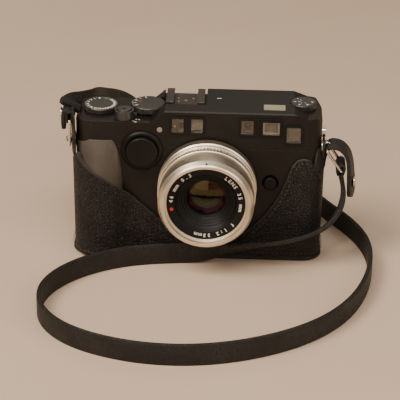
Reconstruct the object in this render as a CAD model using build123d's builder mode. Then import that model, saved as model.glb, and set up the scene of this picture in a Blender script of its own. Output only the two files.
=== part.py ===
from build123d import *
import math
import os

# Rangefinder camera with a 35 mm lens, a leather half case and a neck strap.
# Millimetres, +Z up, the front of the camera faces -Y and +X is the right-hand side seen from the front.
# The origin is the mouth of the tripod socket, on the underside of the half case.

os.makedirs("parts", exist_ok=True)

# Body
BODY_W = 139.0
FRONT = -17.0
BACK = 17.0
CORNER_R = 9.0
BOTTOM = 9.6
BOTTOM_COVER_TOP = 17.0
SEAM = 69.0
DECK = 83.8
RIDGE = 91.0
SHELF = 88.0
WALL = 1.6
GAP = 0.15

# Lens, mount and film gate
AXIS_X = 5.5
AXIS_Z = 47.0
MOUNT_R = 22.0
BASE_R = 28.0
FRONT_RING_R = 26.8
FILTER_R = 23.0
LENS_FACE = -47.0
GATE_W = 36.0
GATE_H = 24.0

# Half case
LEATHER = 2.4
SOLE = 2.2
CASE_CLEAR = 0.4
REAR_LIP = 16.5
SCREW_BOSS_R = 5.4
SCREW_BOSS_TOP = 9.3
TRIPOD_THREAD_R = 3.175

# Grip
GRIP_X = -55.0
GRIP_Y = -9.0

# Strap
STRAP_W = 12.5
STRAP_T = 2.6
LUG_Y = -9.0
LUG_Z = 68.5


def save(builder, name):
    builder.part.label = name
    export_step(builder.part, f"parts/{name}.step")
    print(name, round(builder.part.volume, 1))


def front_plane(y):
    """A sketch plane seen from the front: x to the right, z up, extruding backwards along +Y."""
    return Plane(origin=(0, y, 0), x_dir=(1, 0, 0), z_dir=(0, -1, 0))


def side_plane(x):
    return Plane(origin=(x, 0, 0), x_dir=(0, 1, 0), z_dir=(1, 0, 0))


def plan_block(grow, low, high):
    """The body's outline seen from above, grown by an offset, between two heights."""
    with BuildPart(mode=Mode.PRIVATE) as block:
        with BuildSketch(Plane.XY.offset(low)):
            RectangleRounded(BODY_W + 2 * grow, BACK - FRONT + 2 * grow, CORNER_R + grow)
        extrude(amount=high - low)
    return block.part


def grip_block(grow, low, high):
    """The swell of the hand grip: full lower down, blending into the front near its top."""
    heights = (low, 52.0, high) if high > 60 else (low, high)
    depths = (14.5, 14.5, 9.0) if high > 60 else (14.5, 14.5)
    with BuildPart(mode=Mode.PRIVATE) as block:
        for height, depth in zip(heights, depths):
            with BuildSketch(Plane.XY.offset(height)):
                with Locations((GRIP_X, GRIP_Y)):
                    Ellipse(14.3 + grow, depth + grow)
        loft()
    return block.part


def cylinder_y(x, z, radius, y_near, y_far):
    """A cylinder along Y, from y_near to y_far."""
    with BuildPart(mode=Mode.PRIVATE) as rod:
        with BuildSketch(front_plane(y_near)):
            with Locations((x, z)):
                Circle(radius)
        extrude(amount=-(y_far - y_near))
    return rod.part


def block_between(low, high):
    size = [h - l for l, h in zip(low, high)]
    middle = [(h + l) / 2 for l, h in zip(low, high)]
    return Pos(*middle) * Box(*size, mode=Mode.PRIVATE)


def cylinder_z(x, y, radius, low, high):
    return Pos(x, y, (low + high) / 2) * Cylinder(radius, high - low, mode=Mode.PRIVATE)


# ---------------------------------------------------------------- half case

def case_cutline():
    """The region above the leather's top edge, seen from the front."""
    with BuildPart(mode=Mode.PRIVATE) as cutter:
        with BuildSketch(front_plane(-40)):
            with BuildLine():
                Polyline((-80, 110), (-80, 70.5), (-70.5, 69))
                Spline((-70.5, 69), (-67, 60), (-54, 51.5), (-38, 39.5), (-22.5, 24.3), (-8, 16), (5.5, 14.5),
                       (20, 15.2), (33, 21.5), (44, 36), (50.3, 47.5), (52.3, 56))
                Spline((52.3, 56), (54, 61.5), (58.5, 64), (63, 63.2), (67.5, 59.5), (70, 57))
                Polyline((70, 57), (80, 55), (80, 110), (-80, 110))
            make_face()
        extrude(amount=-25.4)
    return cutter.part


def case_sides():
    """The region above the leather's end walls and behind them, seen from the side."""
    with BuildPart(mode=Mode.PRIVATE) as cutter:
        for x, top in ((-80.0, 59.0), (40.0, 55.5)):
            with BuildSketch(side_plane(x)):
                with BuildLine():
                    Polyline(
                        (-14.8, 110), (-14.8, top), (-3, top - 2.5), (5.5, top - 5), (7.5, top - 9), (7.6, REAR_LIP + 3),
                        (9, REAR_LIP), (30, REAR_LIP), (30, 110), (-14.8, 110),
                    )
                make_face()
            extrude(amount=40)
        with BuildSketch(side_plane(-41)):
            with BuildLine():
                Polyline((-14.8, 110), (-14.8, REAR_LIP), (30, REAR_LIP), (30, 110), (-14.8, 110))
            make_face()
        extrude(amount=82)
    return cutter.part


def make_case():
    with BuildPart() as case_sole:
        add(plan_block(CASE_CLEAR + LEATHER - 0.2, 0, SOLE))
        fillet(case_sole.faces().sort_by(Axis.Z)[0].edges(), 1.2)
        with Locations((0, 0, 0)):
            Hole(8.2)
    save(case_sole, "case_sole")

    outside = plan_block(CASE_CLEAR + LEATHER, SOLE, 72) + grip_block(CASE_CLEAR + LEATHER, SOLE, 72)
    inside = plan_block(CASE_CLEAR, SOLE - 1, 73) + grip_block(CASE_CLEAR, SOLE - 1, 73)
    with BuildPart() as case_shell:
        add(outside)
        add(inside, mode=Mode.SUBTRACT)
        add(case_cutline(), mode=Mode.SUBTRACT)
        add(case_sides(), mode=Mode.SUBTRACT)
    save(case_shell, "case_shell")

    with BuildPart() as case_stiffener:
        add(plan_block(CASE_CLEAR - 0.1, SOLE, BOTTOM - 0.1))
        with Locations((0, 0, SOLE)):
            Hole(SCREW_BOSS_R + 0.2, depth=30)
        with BuildSketch(Plane.XY.offset(SOLE)):
            Circle(8.4)
        extrude(amount=0.3, mode=Mode.SUBTRACT)
    save(case_stiffener, "case_stiffener")

    # The case screw: a knurled head in the sole with its own tripod thread, and a thread into the camera
    with BuildPart() as case_screw:
        add(cylinder_z(0, 0, 7.6, 0, SOLE))
        add(cylinder_z(0, 0, SCREW_BOSS_R, SOLE, SCREW_BOSS_TOP))
        add(cylinder_z(0, 0, 3.1, SCREW_BOSS_TOP, 14.7))
        add(cylinder_z(0, 0, TRIPOD_THREAD_R, -1, SCREW_BOSS_TOP - 1.6), mode=Mode.SUBTRACT)
        with BuildSketch(Plane.XY):
            with PolarLocations(7.6, 16):
                Circle(0.5)
        extrude(amount=SOLE, mode=Mode.SUBTRACT)
    save(case_screw, "case_screw")


# ---------------------------------------------------------------- covers

def cover_solid(inset, low):
    """The top cover's block: low deck, raised middle and a small shelf at the right, inside the body's outline."""
    half = BODY_W / 2 - inset
    with BuildPart(mode=Mode.PRIVATE) as solid:
        with BuildSketch(front_plane(FRONT + inset)):
            with BuildLine():
                Polyline(
                    (-half, low), (-half, DECK - 2 - inset), (-half + 2, DECK - inset), (-27.2 + 0.4 * inset, DECK - inset),
                    (-18.8 + 0.4 * inset, RIDGE - inset), (53.5 - 0.2 * inset, RIDGE - inset),
                    (61.5 - 0.1 * inset, SHELF - inset), (half - 3.5, SHELF - inset), (half, SHELF - 4 - inset),
                    (half, low), (-half, low),
                )
            make_face()
        extrude(amount=-(BACK - FRONT - 2 * inset))
    return solid.part & plan_block(-inset, low - 1, RIDGE + 2)


FINDER_X = 40.7
WINDOWS = {
    "af_window_left": (-11.7, 82.4, 6.6, 8.4),
    "meter_window": (-0.8, 82.4, 6.6, 8.4),
    "af_window_right": (27.3, 82.4, 7.0, 8.4),
    "finder_window": (FINDER_X, 82.0, 9.6, 7.6),
    "light_window": (53.4, 78.4, 8.0, 9.4),
}
SPEED_DIAL = (-56.0, 0.9, 9.5)
EXPOSURE_DIAL = (-29.2, 1.2, 9.8)
SHUTTER = (-42.0, -10.8, 5.6)
DRIVE_DIAL = (58.6, 0.5, 7.3)
SHOE_X = -8.0
SHOE_DECK = 87.6
LCD = (42.3, -7.8, 12.2, 7.8)
LAMP = (-21.8, 79.4)
FOCUS = (-31.7, 66.6)
RELEASE = (41.2, 48.6)
SYNC = (-3.0, 75.0)
EYEPIECE = (FINDER_X, 80.0)
DIOPTER_X = 28.0


def make_top_cover():
    with BuildPart() as top_cover:
        add(cover_solid(0, SEAM))
        ridge = top_cover.edges().filter_by(Axis.X).group_by(Axis.Z)[-1]
        chamfer(ridge.sort_by(Axis.Y)[0], 0.8)
        add(cover_solid(WALL, SEAM - 3), mode=Mode.SUBTRACT)
        # Accessory shoe bay, open at the back, with its own floor
        add(block_between((SHOE_X - 12, -6.5, SHOE_DECK), (SHOE_X + 12, 30, 99)), mode=Mode.SUBTRACT)
        bay = block_between((SHOE_X - 13.4, -7.9, SHOE_DECK - WALL), (SHOE_X + 13.4, BACK - 0.3, RIDGE - WALL))
        bay -= block_between((SHOE_X - 12, -6.5, SHOE_DECK), (SHOE_X + 12, 30, 99))
        add(bay)
        for x, z, width, height in WINDOWS.values():
            add(block_between((x - width / 2, FRONT - 1, z - height / 2), (x + width / 2, FRONT + 3, z + height / 2)),
                mode=Mode.SUBTRACT)
        add(block_between((LCD[0] - LCD[2] / 2, LCD[1] - LCD[3] / 2, RIDGE - 3),
                          (LCD[0] + LCD[2] / 2, LCD[1] + LCD[3] / 2, RIDGE + 1)), mode=Mode.SUBTRACT)
        for x, y, radius in (SPEED_DIAL, EXPOSURE_DIAL, SHUTTER):
            add(cylinder_z(x, y, 3.1, DECK - 3, DECK + 1), mode=Mode.SUBTRACT)
        add(cylinder_z(EXPOSURE_DIAL[0], EXPOSURE_DIAL[1], EXPOSURE_DIAL[2] + 0.4, DECK, RIDGE + 5), mode=Mode.SUBTRACT)
        add(cylinder_z(DRIVE_DIAL[0], DRIVE_DIAL[1], 3.1, SHELF - 5, RIDGE + 5), mode=Mode.SUBTRACT)
        add(cylinder_z(DRIVE_DIAL[0], DRIVE_DIAL[1], DRIVE_DIAL[2] + 0.4, SHELF, RIDGE + 5), mode=Mode.SUBTRACT)
        add(cylinder_y(LAMP[0], LAMP[1], 1.6, FRONT - 1, FRONT + 4), mode=Mode.SUBTRACT)
        add(cylinder_y(FOCUS[0], FOCUS[1], 11.9, FRONT - 1, FRONT + 3), mode=Mode.SUBTRACT)
        add(cylinder_y(AXIS_X, AXIS_Z, MOUNT_R + 2.6, FRONT - 1, FRONT + 5), mode=Mode.SUBTRACT)
        add(block_between((EYEPIECE[0] - 8, BACK - 4, EYEPIECE[1] - 6), (EYEPIECE[0] + 8, BACK + 1, EYEPIECE[1] + 6)),
            mode=Mode.SUBTRACT)
        add(cylinder_y(DIOPTER_X, EYEPIECE[1], 1.6, BACK - 4, BACK + 1), mode=Mode.SUBTRACT)
        add(cylinder_y(-45, 77, 2.6, BACK - 4, BACK + 1), mode=Mode.SUBTRACT)
        add(Pos(BODY_W / 2, SYNC[0], SYNC[1]) * Rot(0, 90, 0) * Cylinder(3.2, 8, mode=Mode.PRIVATE), mode=Mode.SUBTRACT)
    save(top_cover, "top_cover")


def make_bottom_cover():
    with BuildPart() as bottom_cover:
        add(plan_block(0, BOTTOM, BOTTOM_COVER_TOP))
        chamfer(bottom_cover.faces().sort_by(Axis.Z)[0].edges(), 0.8)
        add(plan_block(-WALL, BOTTOM + WALL, BOTTOM_COVER_TOP + 1), mode=Mode.SUBTRACT)
        with Locations((0, 0, BOTTOM)):
            Hole(6.1, depth=10)
        add(block_between((-66, -10, 0), (-44, 6, BOTTOM + 5)), mode=Mode.SUBTRACT)
        add(cylinder_z(HINGE[0], HINGE[1], 0.85, BOTTOM_COVER_TOP - 2.1, BOTTOM_COVER_TOP + 1), mode=Mode.SUBTRACT)
    save(bottom_cover, "bottom_cover")

    with BuildPart() as tripod_socket:
        with BuildSketch(Plane.XY.offset(BOTTOM)):
            Circle(6.0)
        extrude(amount=7.2)
        with BuildSketch(Plane.XY.offset(BOTTOM + WALL + 0.05)):
            Circle(8.5)
        extrude(amount=1.2)
        with Locations((0, 0, BOTTOM)):
            Hole(TRIPOD_THREAD_R, depth=6.0)
    save(tripod_socket, "tripod_socket")

    with BuildPart() as battery_cover:
        add(block_between((-65.9, -9.9, BOTTOM), (-44.1, 5.9, BOTTOM + WALL)))
        add(block_between((-64.5, -8.5, BOTTOM + WALL), (-45.5, 4.5, BOTTOM + WALL + 0.8)))
        with BuildSketch(Plane.XY.offset(BOTTOM)):
            with Locations((-55, -2)):
                SlotOverall(9, 2)
        extrude(amount=0.7, mode=Mode.SUBTRACT)
    save(battery_cover, "battery_cover")

    with BuildPart() as batteries:
        for low in (BOTTOM + 4, BOTTOM + 31.5):
            with BuildSketch(Plane.XY.offset(low)):
                with Locations((-57.2, -4)):
                    Circle(7.75)
            extrude(amount=26)
            with BuildSketch(Plane.XY.offset(low + 26)):
                with Locations((-57.2, -4)):
                    Circle(2.6)
            extrude(amount=1.0)
    save(batteries, "batteries")


def make_front_panel():
    with BuildPart() as front_panel:
        add(plan_block(0, BOTTOM_COVER_TOP + GAP, SEAM - GAP))
        add(plan_block(-WALL, 0, 99), mode=Mode.SUBTRACT)
        add(block_between((-65.8, 12.2, 0), (67.2, 30, 99)), mode=Mode.SUBTRACT)
        add(cylinder_y(AXIS_X, AXIS_Z, MOUNT_R + 2.6, FRONT - 1, FRONT + 5), mode=Mode.SUBTRACT)
        add(cylinder_y(FOCUS[0], FOCUS[1], 11.9, FRONT - 1, FRONT + 3), mode=Mode.SUBTRACT)
        add(cylinder_y(RELEASE[0], RELEASE[1], 4.6, FRONT - 1, FRONT + 3), mode=Mode.SUBTRACT)
        add(block_between((-80, 8.2, 39.5), (-68.6, 12.6, 54.5)), mode=Mode.SUBTRACT)
    save(front_panel, "front_panel")

    with BuildPart() as hand_grip:
        add(grip_block(0, BOTTOM_COVER_TOP + 1, 72.5))
        add(plan_block(0.05, 0, 99), mode=Mode.SUBTRACT)
        add(block_between((-80, -10, 0), (-30, 20, 99)), mode=Mode.SUBTRACT)
        add(cylinder_y(FOCUS[0], FOCUS[1], 12.6, FRONT - 20, FRONT + 3), mode=Mode.SUBTRACT)
    save(hand_grip, "hand_grip")


# ---------------------------------------------------------------- chassis and film path

CASSETTE = (44.5, 1.0)
SPOOL = (-37.5, 2.5)
SPROCKET = (-20.0, 5.5)
FILM_PLANE = 11.0


def make_chassis():
    with BuildPart() as main_chassis:
        add(block_between((-48.5, -8.5, BOTTOM_COVER_TOP + 1), (61.5, FILM_PLANE, SEAM - 2)))
        # Film cassette chamber, open at the back
        add(block_between((CASSETTE[0] - 13.0, -6.9, 19.5), (CASSETTE[0] + 13.0, 20, SEAM - 3.6)), mode=Mode.SUBTRACT)
        # Take-up chamber
        add(block_between((SPOOL[0] - 9.6, -7.0, 19.5), (SPOOL[0] + 9.6, 20, SEAM - 3.6)), mode=Mode.SUBTRACT)
        # Sprocket trough
        add(block_between((SPROCKET[0] - 6.4, -1.5, 19.5), (SPROCKET[0] + 6.4, 20, SEAM - 3.6)), mode=Mode.SUBTRACT)
        # Light tunnel and shutter slot
        add(block_between((AXIS_X - GATE_W / 2 + 0.0, -20, AXIS_Z - GATE_H / 2), (AXIS_X + GATE_W / 2, 30, AXIS_Z + GATE_H / 2)),
            mode=Mode.SUBTRACT)
        add(block_between((AXIS_X - 19.5, 5.6, 20.0), (AXIS_X + 19.5, 8.8, SEAM - 3.0)), mode=Mode.SUBTRACT)
        add(cylinder_y(AXIS_X, AXIS_Z, 19.8, -12, 2.0), mode=Mode.SUBTRACT)
        for x, y in (SPOOL, SPROCKET):
            add(cylinder_z(x, y, 1.55, 16, SEAM), mode=Mode.SUBTRACT)
        add(cylinder_z(CASSETTE[0], CASSETTE[1], 2.55, 60, SEAM), mode=Mode.SUBTRACT)
    save(main_chassis, "main_chassis")

    with BuildPart() as takeup_spool:
        with BuildSketch(Plane.XY.offset(20.0)):
            with Locations(SPOOL):
                Circle(7.4)
                Circle(5.6, mode=Mode.SUBTRACT)
        extrude(amount=45)
        with BuildSketch(Plane.XY.offset(20.0)):
            with Locations(SPOOL):
                Circle(7.4)
        extrude(amount=1.4)
        for low, high in ((18.2, 20.0), (65.0, 66.8)):
            with BuildSketch(Plane.XY.offset(low)):
                with Locations(SPOOL):
                    Circle(1.5)
            extrude(amount=high - low)
        with BuildSketch(Plane.XY.offset(63.6)):
            with Locations(SPOOL):
                Circle(7.4)
        extrude(amount=1.4)
        with Locations(side_plane(SPOOL[0] + 7.0)):
            with Locations((SPOOL[1], 47)):
                Box(2.5, 12, 3.6, mode=Mode.SUBTRACT)
    save(takeup_spool, "takeup_spool")

    with BuildPart() as film_sprocket:
        with BuildSketch(Plane.XY.offset(18.2)):
            with Locations(SPROCKET):
                Circle(1.5)
        extrude(amount=48.6)
        for middle in (AXIS_Z - 14.1, AXIS_Z + 14.1):
            with BuildSketch(Plane.XY.offset(middle - 2)):
                with Locations(SPROCKET):
                    Circle(5.2)
            extrude(amount=4)
            with BuildSketch(Plane.XY.offset(middle - 0.6)):
                with Locations(SPROCKET):
                    with PolarLocations(5.5, 8):
                        Rectangle(1.2, 1.6)
            extrude(amount=1.2)
    save(film_sprocket, "film_sprocket")

    with BuildPart() as rewind_fork:
        with BuildSketch(Plane.XY.offset(61.5)):
            with Locations(CASSETTE):
                Circle(2.5)
        extrude(amount=5.0)
        with BuildSketch(Plane.XY.offset(57.5)):
            with Locations((CASSETTE[0] - 1.2, CASSETTE[1]), (CASSETTE[0] + 1.2, CASSETTE[1])):
                Rectangle(0.9, 3.2)
        extrude(amount=4.0)
    save(rewind_fork, "rewind_fork")


BLADE_H = 9.0


def make_shutter():
    """Three metal blades that stack below the gate and slide up to close it."""
    for index in range(3):
        low = AXIS_Z - GATE_H / 2 - 1.0 + index * 8.5
        near = 5.9 + index * 0.9
        with BuildPart() as blade:
            add(block_between((AXIS_X - 19.0, near, low), (AXIS_X + 19.0, near + 0.5, low + BLADE_H)))
        save(blade, ("shutter_blade_lower", "shutter_blade_middle", "shutter_blade_upper")[index])


# ---------------------------------------------------------------- back door

HINGE = (64.6, 14.7)
DOOR_LEFT = -61.5
DOOR_LOW = BOTTOM_COVER_TOP + 0.4
DOOR_TOP = SEAM - 0.4


def make_back_door():
    with BuildPart() as back_door:
        add(plan_block(0, DOOR_LOW, DOOR_TOP) & block_between((DOOR_LEFT, 14.4, 0), (62.2, 30, 99)))
        add(block_between((48, 15.2, 32), (56, 30, 56)), mode=Mode.SUBTRACT)
        # Hinge knuckles
        for low in (DOOR_LOW + 4, AXIS_Z - 6, DOOR_TOP - 16):
            knuckle = cylinder_z(HINGE[0], HINGE[1], 1.7, low, low + 12)
            knuckle += block_between((61.8, 14.4, low), (HINGE[0], 16.2, low + 12))
            add(knuckle)
            add(cylinder_z(HINGE[0], HINGE[1], 0.83, low - 1, low + 13), mode=Mode.SUBTRACT)
        # Light-trap rim and hook behind the latch
        add(block_between((DOOR_LEFT + 0.6, 12.6, 38), (DOOR_LEFT + 2.0, 14.5, 56)))
    save(back_door, "back_door")

    with BuildPart() as film_window:
        add(block_between((48.1, 15.2, 32.1), (55.9, 16.4, 55.9)))
    save(film_window, "film_window")

    with BuildPart() as door_hinge_pin:
        add(cylinder_z(HINGE[0], HINGE[1], 0.8, BOTTOM_COVER_TOP - 2, SEAM - 0.2))
    save(door_hinge_pin, "door_hinge_pin")

    with BuildPart() as pressure_plate:
        add(block_between((AXIS_X - 20, 11.6, AXIS_Z - 17.5), (AXIS_X + 20, 12.8, AXIS_Z + 17.5)))
        fillet(pressure_plate.edges().filter_by(Axis.Y), 2)
    save(pressure_plate, "pressure_plate")

    with BuildPart() as door_latch:
        add(block_between((-70.2, 8.6, 40), (-68.8, 12.2, 49)))
        add(block_between((-71.0, 8.6, 43), (-70.1, 12.2, 44)))
        add(block_between((-71.0, 8.6, 45), (-70.1, 12.2, 46)))
    save(door_latch, "door_latch")


# ---------------------------------------------------------------- top controls

def make_dial(name, place, low, high, grooves, groove_r, stem_low):
    x, y, radius = place
    with BuildPart() as dial:
        with BuildSketch(Plane.XY.offset(low)):
            with Locations((x, y)):
                Circle(radius)
        extrude(amount=high - low)
        chamfer(dial.faces().sort_by(Axis.Z)[-1].edges(), 0.5)
        with BuildSketch(Plane.XY.offset(low - 1)):
            with Locations((x, y)):
                with PolarLocations(radius + 0.05, grooves):
                    Circle(groove_r)
        extrude(amount=high - low + 2, mode=Mode.SUBTRACT)
        with BuildSketch(Plane.XY.offset(stem_low)):
            with Locations((x, y)):
                Circle(3.0)
        extrude(amount=low - stem_low)
    save(dial, name)


def make_top_controls():
    make_dial("shutter_speed_dial", SPEED_DIAL, DECK + 0.3, 87.0, 60, 0.28, DECK - 2.5)
    make_dial("exposure_dial", EXPOSURE_DIAL, DECK + 1.0, 88.2, 60, 0.3, DECK - 2.5)
    make_dial("drive_dial", DRIVE_DIAL, SHELF + 0.3, 91.6, 48, 0.28, SHELF - 2.5)

    x, y, radius = SHUTTER
    collar_bore = 4.4
    button_radius = 4.0
    stem_radius = 3.0
    head_base = DECK + 1.8
    head_top = DECK + 5.6
    with BuildPart() as power_switch:
        with BuildSketch(Plane.XY.offset(DECK + 0.1)):
            with Locations((x, y)):
                Circle(radius)
        extrude(amount=4.9, taper=3)
        with BuildSketch(Plane.XY.offset(DECK + 0.1)):
            with Locations((x + 5.4, y + 1.6)):
                Rectangle(3.2, 1.8)
        extrude(amount=2.2)
        add(cylinder_z(x, y, collar_bore, DECK - 1, RIDGE), mode=Mode.SUBTRACT)
    save(power_switch, "power_switch")

    with BuildPart() as shutter_button:
        add(cylinder_z(x, y, button_radius, head_base, head_top))
        fillet(shutter_button.faces().sort_by(Axis.Z)[-1].edges(), 0.6)
        add(cylinder_z(x, y, stem_radius, DECK - 2.5, head_base))
        with Locations((x, y, head_top)):
            Hole(1.0, depth=2.5)
    save(shutter_button, "shutter_button")

    with BuildPart() as hot_shoe:
        add(block_between((SHOE_X - 10.8, -4.5, SHOE_DECK), (SHOE_X + 10.8, 15.5, SHOE_DECK + 0.8)))
        for side in (-1, 1):
            inner, outer = SHOE_X + side * 9.35, SHOE_X + side * 10.8
            lip = SHOE_X + side * 6.6
            add(block_between((min(inner, outer), -4.5, SHOE_DECK + 0.8), (max(inner, outer), 15.5, SHOE_DECK + 3.8)))
            add(block_between((min(lip, outer), -4.5, SHOE_DECK + 2.9), (max(lip, outer), 15.5, SHOE_DECK + 3.8)))
        add(block_between((SHOE_X - 10.8, -5.4, SHOE_DECK), (SHOE_X + 10.8, -4.4, SHOE_DECK + 2.4)))
    save(hot_shoe, "hot_shoe")

    with BuildPart() as shoe_contacts:
        for dx, dy, radius in ((0, 4.5, 1.1), (-4.2, 7.5, 0.8), (4.2, 7.5, 0.8), (-4.2, 3.0, 0.8)):
            add(cylinder_z(SHOE_X + dx, dy, radius, SHOE_DECK + 0.8, SHOE_DECK + 1.1))
    save(shoe_contacts, "shoe_contacts")

    with BuildPart() as lcd_panel:
        add(block_between((LCD[0] - LCD[2] / 2 + 0.05, LCD[1] - LCD[3] / 2 + 0.05, RIDGE - 1.5),
                          (LCD[0] + LCD[2] / 2 - 0.05, LCD[1] + LCD[3] / 2 - 0.05, RIDGE - 0.05)))
    save(lcd_panel, "lcd_panel")


# ---------------------------------------------------------------- front fittings

def frame_ring(x, z, width, height, border, depth, rounding):
    """A rectangular window frame standing proud of the front, around one opening or more."""
    with BuildPart(mode=Mode.PRIVATE) as ring:
        with BuildSketch(front_plane(FRONT - depth)):
            with Locations((x, z)):
                RectangleRounded(width + 2 * border, height + 2 * border, rounding)
        extrude(amount=-depth)
    return ring.part


def make_windows():
    groups = (("af_window_left", "meter_window"), ("af_window_right", "finder_window"), ("light_window",))
    with BuildPart() as frames:
        for members in groups:
            lows = [WINDOWS[m][0] - WINDOWS[m][2] / 2 for m in members]
            highs = [WINDOWS[m][0] + WINDOWS[m][2] / 2 for m in members]
            height = max(WINDOWS[m][3] for m in members)
            x, z = (min(lows) + max(highs)) / 2, WINDOWS[members[0]][1]
            add(frame_ring(x, z, max(highs) - min(lows), height, 1.3, 0.7, 2.2 if len(members) == 1 else 1.2))
        for x, z, width, height in WINDOWS.values():
            add(block_between((x - width / 2, FRONT - 3, z - height / 2), (x + width / 2, FRONT + 1, z + height / 2)),
                mode=Mode.SUBTRACT)
    save(frames, "window_frames")
    with BuildPart() as glasses:
        for x, z, width, height in WINDOWS.values():
            add(block_between((x - width / 2 + 0.05, FRONT - 0.2, z - height / 2 + 0.05),
                              (x + width / 2 - 0.05, FRONT + 0.9, z + height / 2 - 0.05)))
        x, z = EYEPIECE
        add(block_between((x - 4.95, BACK - 1.5, z - 3.55), (x + 4.95, BACK + 0.2, z + 3.55)))
    save(glasses, "window_glasses")

    with BuildPart() as finder_block:
        add(block_between((FINDER_X - 7.4, FRONT + 2.4, 75.2), (FINDER_X + 7.4, BACK - 4.4, 88.2)))
        add(block_between((FINDER_X - 4.6, FRONT + 1.5, 78.2), (FINDER_X + 4.6, BACK - 3, 85.8)), mode=Mode.SUBTRACT)
    save(finder_block, "finder_block")

    with BuildPart() as af_module:
        add(block_between((-15.5, FRONT + 2.4, 77.5), (31.4, FRONT + 8.5, 85.4)))
    save(af_module, "af_module")

    with BuildPart() as self_timer_lamp:
        add(cylinder_y(LAMP[0], LAMP[1], 1.55, FRONT - 0.2, FRONT + 2.0))
        fillet(self_timer_lamp.faces().sort_by(Axis.Y)[0].edges(), 0.3)
    save(self_timer_lamp, "self_timer_lamp")


def make_focus_dial():
    x, z = FOCUS
    with BuildPart() as housing:
        add(cylinder_y(x, z, 11.8, FRONT - 1.6, FRONT + 2.0))
        chamfer(housing.faces().sort_by(Axis.Y)[0].edges(), 0.9)
        add(cylinder_y(x, z, 9.5, FRONT - 3, FRONT + 0.2), mode=Mode.SUBTRACT)
        add(cylinder_y(x, z, 2.1, FRONT - 3, FRONT + 5), mode=Mode.SUBTRACT)
    save(housing, "focus_dial_housing")

    with BuildPart() as dial:
        add(cylinder_y(x, z, 9.0, FRONT - 4.2, FRONT + 0.1))
        chamfer(dial.faces().sort_by(Axis.Y)[0].edges(), 0.6)
        with BuildSketch(front_plane(FRONT - 5)):
            with Locations((x, z)):
                with PolarLocations(9.05, 48):
                    Circle(0.3)
        extrude(amount=-6, mode=Mode.SUBTRACT)
        add(cylinder_y(x, z, 2.0, FRONT, FRONT + 3.4))
    save(dial, "focus_dial")


def make_lens_release():
    x, z = RELEASE
    with BuildPart() as button:
        add(cylinder_y(x, z, 3.6, FRONT - 2.2, FRONT + 1.5))
        fillet(button.faces().sort_by(Axis.Y)[0].edges(), 0.6)
    save(button, "lens_release_button")


# ---------------------------------------------------------------- lens

def revolved(profile):
    """A solid of revolution about the lens axis. Each point is (radius, y)."""
    with BuildPart(mode=Mode.PRIVATE) as turned:
        with BuildSketch(Plane.XY):
            with BuildLine():
                Polyline(*[(radius, y) for radius, y in profile], close=True)
            make_face()
        revolve(axis=Axis.Y)
    return Pos(AXIS_X, 0, AXIS_Z) * turned.part


def glass_disc(radius, front, back, bulge):
    """A lens element with a domed front and a flat back."""
    curve = (radius**2 + bulge**2) / (2 * bulge)
    disc = cylinder_y(AXIS_X, AXIS_Z, radius, front - bulge, back)
    return disc & Pos(AXIS_X, front - bulge + curve, AXIS_Z) * Sphere(curve, mode=Mode.PRIVATE)


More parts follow.
